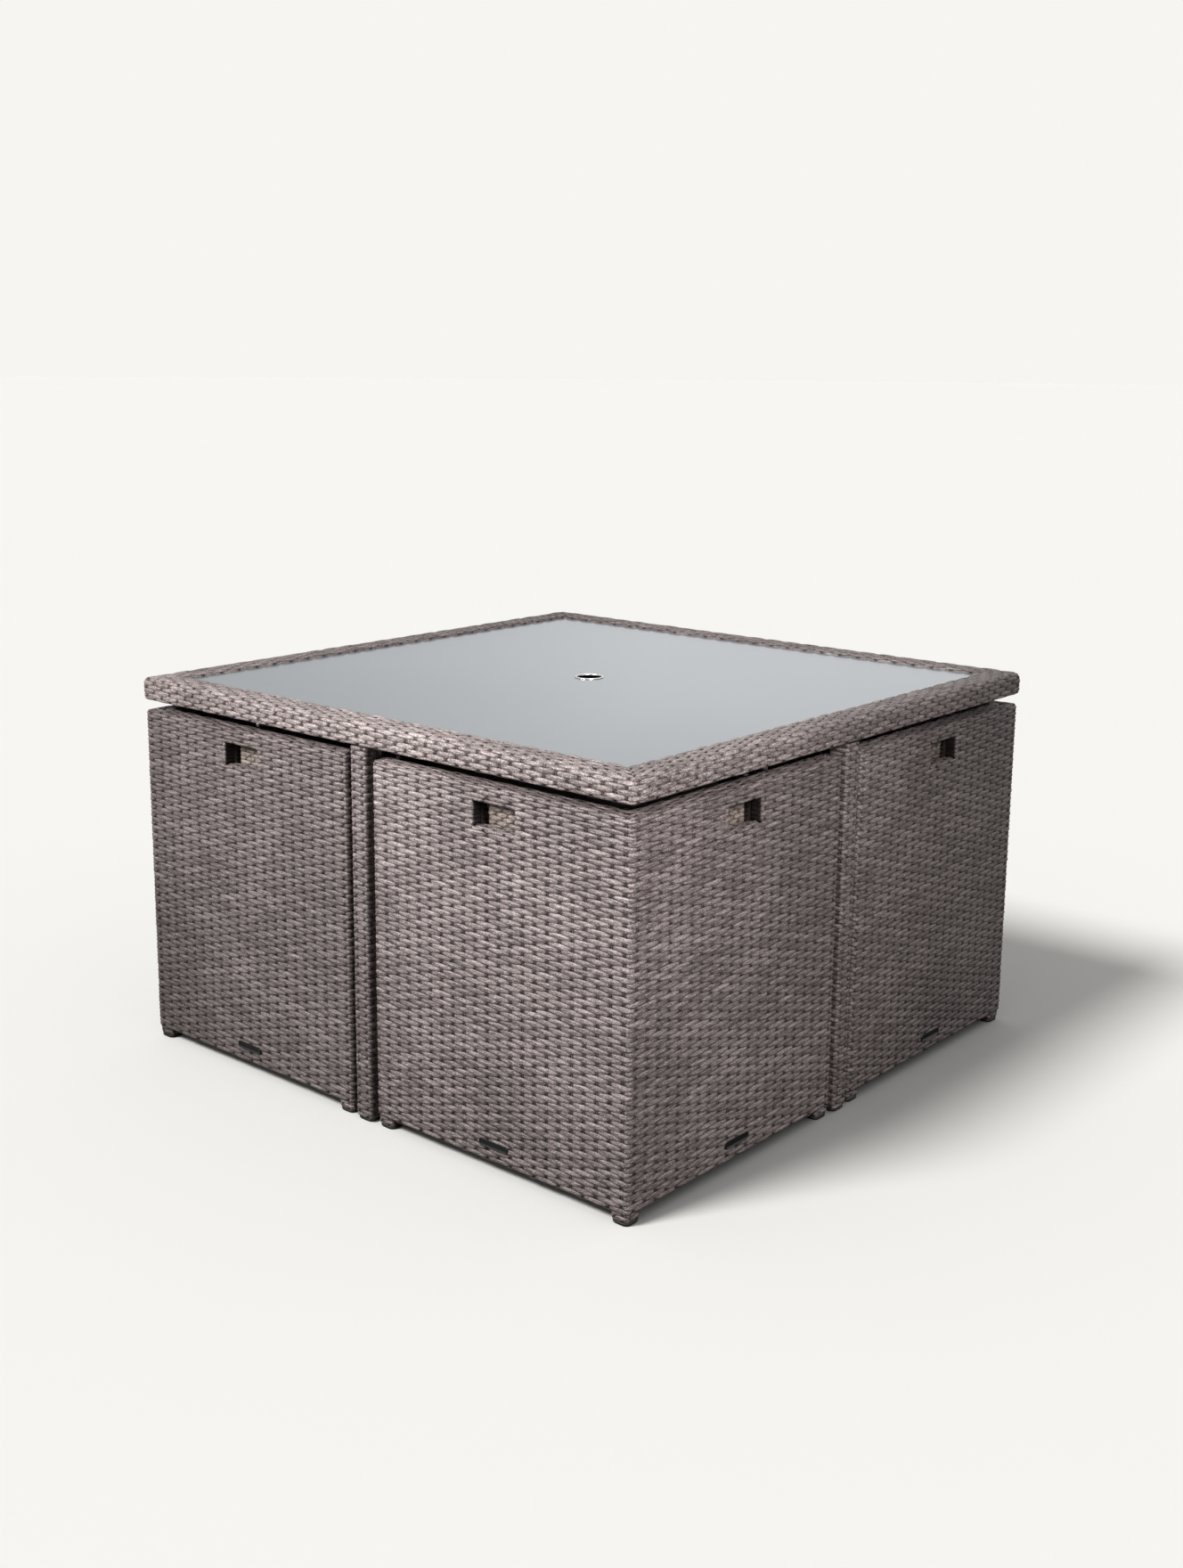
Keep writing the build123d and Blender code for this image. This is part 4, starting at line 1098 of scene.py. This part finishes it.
def piping_line(z):
    """The cushion's own outline near this height, where its side meets a face."""
    near = cushion_co[np.abs(cushion_co[:, 2] - z * MM) < 0.004]
    ang = np.arctan2(near[:, 1], near[:, 0]) % (2 * math.pi)
    rad = np.hypot(near[:, 0], near[:, 1])
    n = 160
    bins = np.floor(ang / (2 * math.pi) * n).astype(int) % n
    r = np.zeros(n)
    np.maximum.at(r, bins, rad)
    a = (np.arange(n) + 0.5) / n * 2 * math.pi
    ok = r > 0.15
    r = np.interp(a, a[ok], r[ok], period=2 * math.pi)
    r = 0.25 * np.roll(r, 1) + 0.5 * r + 0.25 * np.roll(r, -1) + 0.0006
    return [[303 + 1000 * q * math.cos(t), -303 + 1000 * q * math.sin(t), 436.5 + z] for q, t in zip(r, a)]


pipe = Bin()
for zz in (19.5, -19.5):
    tb = tube_mesh("piping", piping_line(zz), 2.6, M_FABRIC)
    off = pipe.n
    for key in ("v", "sc", "tone", "dep", "uv", "mi"):
        getattr(pipe, key).extend(getattr(tb, key))
    pipe.f.extend([f + off for f in tb.f])
    pipe.n += tb.n
pipe_me = pipe.mesh("cushion_piping", [M_FABRIC])
for k, t in TURNS.items():
    c = place(cushion_me, f"chair_{k}_cushion", bodies[k], t, [f"chair_{k}_seat_cushion"])
    place(pipe_me, f"chair_{k}_cushion_piping", bodies[k], t)

# ---------------------------------------------------------------- CAD nodes that stay
CAD_MATS = {
    "table_glass": M_GLASS,
    "table_rim_frame": M_FRAME,
    "table_cross_rails": M_FRAME,
    "table_base_stretcher": M_FRAME,
    "glass_ledge_pads": M_RUBBER,
    "glass_rail_pads": M_RUBBER,
    "table_leg_bolts": M_STEEL,
    "table_base_screws": M_STEEL,
    "table_leg_glides": M_FOOT,
}
for n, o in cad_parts.items():
    mat = CAD_MATS.get(n)
    if mat is None:
        if n.endswith("_tube") or n.endswith("_frame"):
            mat = M_FRAME
        elif n.endswith("foot_glides"):
            mat = M_FOOT
    if mat is not None:
        o.data.materials.clear()
        o.data.materials.append(mat)
    if n in ("table_glass",):
        bev = o.modifiers.new("edge", "BEVEL")
        bev.width = 0.0009
        bev.segments = 2
        bev.limit_method = "ANGLE"
        bev.angle_limit = math.radians(40)

# ---------------------------------------------------------------- floor, light, camera
def floor_material():
    """Pale paper floor; it gives the pieces less light from below than it shows."""
    k = Nodes("studio_floor")
    n = k.noise(k.obj(), 0.6, 2.0)
    seen = k.ramp(n, [(0.3, (0.892, 0.893, 0.876, 1)), (0.7, (0.896, 0.897, 0.880, 1))])
    ray = k.new("ShaderNodeLightPath")
    k.link(k.mix(ray.outputs["Is Camera Ray"], (0.20, 0.196, 0.19, 1), seen), k.b.inputs["Base Color"])
    k.set(Roughness=0.9, Specular_IOR_Level=0.05)
    return k.m


fme = bpy.data.meshes.new("floor")
ring_n = 96
vs = [(0, 0, 0)] + [(80 * math.cos(2 * math.pi * i / ring_n), 80 * math.sin(2 * math.pi * i / ring_n), 0) for i in range(ring_n)]
fme.from_pydata(vs, [], [(0, 1 + i, 1 + (i + 1) % ring_n) for i in range(ring_n)])
fme.materials.append(floor_material())
floor = bpy.data.objects.new("floor", fme)
scene.collection.objects.link(floor)

BACK = (0.925, 0.913, 0.880)
AMBIENT = 0.18
world = bpy.data.worlds.new("studio")
scene.world = world
world.use_nodes = True
wt = world.node_tree
wt.nodes.clear()
wo = wt.nodes.new("ShaderNodeOutputWorld")
b1 = wt.nodes.new("ShaderNodeBackground")
b2 = wt.nodes.new("ShaderNodeBackground")
lp = wt.nodes.new("ShaderNodeLightPath")
mx = wt.nodes.new("ShaderNodeMixShader")
b1.name = "ambient"
b1.inputs[0].default_value = (1.0, 0.99, 0.975, 1)
b1.inputs[1].default_value = AMBIENT
b2.inputs[0].default_value = (*BACK, 1)
b2.inputs[1].default_value = 1.0
b3 = wt.nodes.new("ShaderNodeBackground")
b3.inputs[0].default_value = (0.913, 0.917, 0.912, 1)
way = wt.nodes.new("ShaderNodeTexCoord")
dot = wt.nodes.new("ShaderNodeVectorMath")
dot.operation = "DOT_PRODUCT"
dot.inputs[1].default_value = (-0.94, 0.34, 0.0)
side = wt.nodes.new("ShaderNodeMapRange")
side.inputs[1].default_value, side.inputs[2].default_value = 0.84, 0.93
side.inputs[3].default_value, side.inputs[4].default_value = 1.04, 0.72
wt.links.new(way.outputs["Generated"], dot.inputs[0])
wt.links.new(dot.outputs["Value"], side.inputs[0])
wt.links.new(side.outputs[0], b3.inputs[1])
mg = wt.nodes.new("ShaderNodeMixShader")
wt.links.new(lp.outputs["Is Glossy Ray"], mg.inputs[0])
wt.links.new(b1.outputs[0], mg.inputs[1])
wt.links.new(b3.outputs[0], mg.inputs[2])
wt.links.new(lp.outputs["Is Camera Ray"], mx.inputs[0])
wt.links.new(mg.outputs[0], mx.inputs[1])
wt.links.new(b2.outputs[0], mx.inputs[2])
wt.links.new(mx.outputs[0], wo.inputs[0])

sun = bpy.data.lights.new("key", "SUN")
sun.energy = 2.85
sun.angle = math.radians(17)
sun.color = (1.0, 0.985, 0.965)
so = bpy.data.objects.new("key", sun)
scene.collection.objects.link(so)
so.rotation_mode = "QUATERNION"
so.rotation_quaternion = Vector((0.21, 0.63, -0.74)).to_track_quat("-Z", "Y")

# the key makes the floor's light and shadow; softboxes light the set and leave the floor evenly pale
only_floor = bpy.data.collections.new("floor_only")
only_floor.objects.link(floor)
so.light_linking.receiver_collection = only_floor
fill = bpy.data.lights.new("floor_fill", "SUN")
fill.energy = 0.58
fill.angle = math.radians(140)
fill.color = (1.0, 0.99, 0.975)
fo = bpy.data.objects.new("floor_fill", fill)
scene.collection.objects.link(fo)
fo.light_linking.receiver_collection = only_floor
not_floor = bpy.data.collections.new("not_the_floor")
not_floor.objects.link(floor)
not_floor.collection_objects[0].light_linking.link_state = "EXCLUDE"
# the glass has an even light of its own, so that it doesn't get a bright near edge
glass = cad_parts["table_glass"]
not_flat = bpy.data.collections.new("not_the_floor_or_glass")
for o in (floor, glass):
    not_flat.objects.link(o)
for c in not_flat.collection_objects:
    c.light_linking.link_state = "EXCLUDE"
# the right-hand light leaves the gaps round the front leg dark
not_gap = bpy.data.collections.new("not_the_front_gap")
for o in (floor, glass, bpy.data.objects["chair_left_woven_outside"], bpy.data.objects["table_leg_front_woven"]):
    not_gap.objects.link(o)
for c in not_gap.collection_objects:
    c.light_linking.link_state = "EXCLUDE"
only_glass = bpy.data.collections.new("glass_only")
only_glass.objects.link(glass)


def softbox(name, loc, target, size, energy, spread=180, lit=None, color=(1.0, 0.985, 0.975)):
    l = bpy.data.lights.new(name, "AREA")
    l.shape = "RECTANGLE"
    l.size, l.size_y = size
    l.spread = math.radians(spread)
    l.energy = energy
    l.color = color
    o = bpy.data.objects.new(name, l)
    scene.collection.objects.link(o)
    o.location = loc
    o.rotation_mode = "QUATERNION"
    o.rotation_quaternion = (Vector(target) - Vector(loc)).to_track_quat("-Z", "Y")
    o.light_linking.receiver_collection = lit or not_floor
    o.visible_camera = False
    return o


for args in (
    ("soft_a", (-0.45, -2.00, 1.50), (0.26, -0.62, 0.64), (1.4, 0.45), 16.8, 85, not_flat),
    ("soft_b", (1.80, -1.12, 1.42), (0.62, -0.60, 0.76), (1.0, 0.45), 9.8, 84, not_gap),
    ("soft_c", (-0.39, 1.95, 0.42), (-0.2, 0.6, 0.42), (1.4, 0.5), 11.0, 150),
    ("soft_d", (-1.9, 0.5, 0.42), (-0.6, 0.2, 0.42), (1.4, 0.5), 8.0, 150),
    ("soft_top", (0.1, 0.2, 2.7), (0, 0, 0.7), (1.6, 1.6), 12.0, 180, not_flat),
    ("soft_glass", (0.1, 0.2, 2.7), (0, 0, 0.7), (1.6, 1.6), 55.0, 180, only_glass),
):
    softbox(*args)

cam = bpy.data.cameras.new("camera")
co_ = bpy.data.objects.new("camera", cam)
scene.collection.objects.link(co_)
fwd = Vector((-0.64233, 0.73872, -0.20421)).normalized()
right = fwd.cross(Vector((0, 0, 1))).normalized()
up = right.cross(fwd)
roll = math.radians(0.4125)
r2 = right * math.cos(roll) + up * math.sin(roll)
u2 = -right * math.sin(roll) + up * math.cos(roll)
rot = Matrix((r2, u2, -fwd)).transposed()
co_.matrix_world = Matrix.Translation((2.25936, -2.64453, 1.37178)) @ rot.to_4x4()
cam.sensor_fit = "AUTO"
cam.sensor_width = 36.0
cam.lens = 2001.21 / 1760 * 36.0
cam.shift_x = (664.0 - 643.89) / 1760
cam.shift_y = (808.46 - 880.0) / 1760
cam.dof.use_dof = False
cam.clip_start, cam.clip_end = 0.05, 400.0
scene.camera = co_

scene.view_settings.view_transform = "Standard"
scene.view_settings.look = "None"
scene.view_settings.exposure = 0.0
scene.view_settings.gamma = 1.0
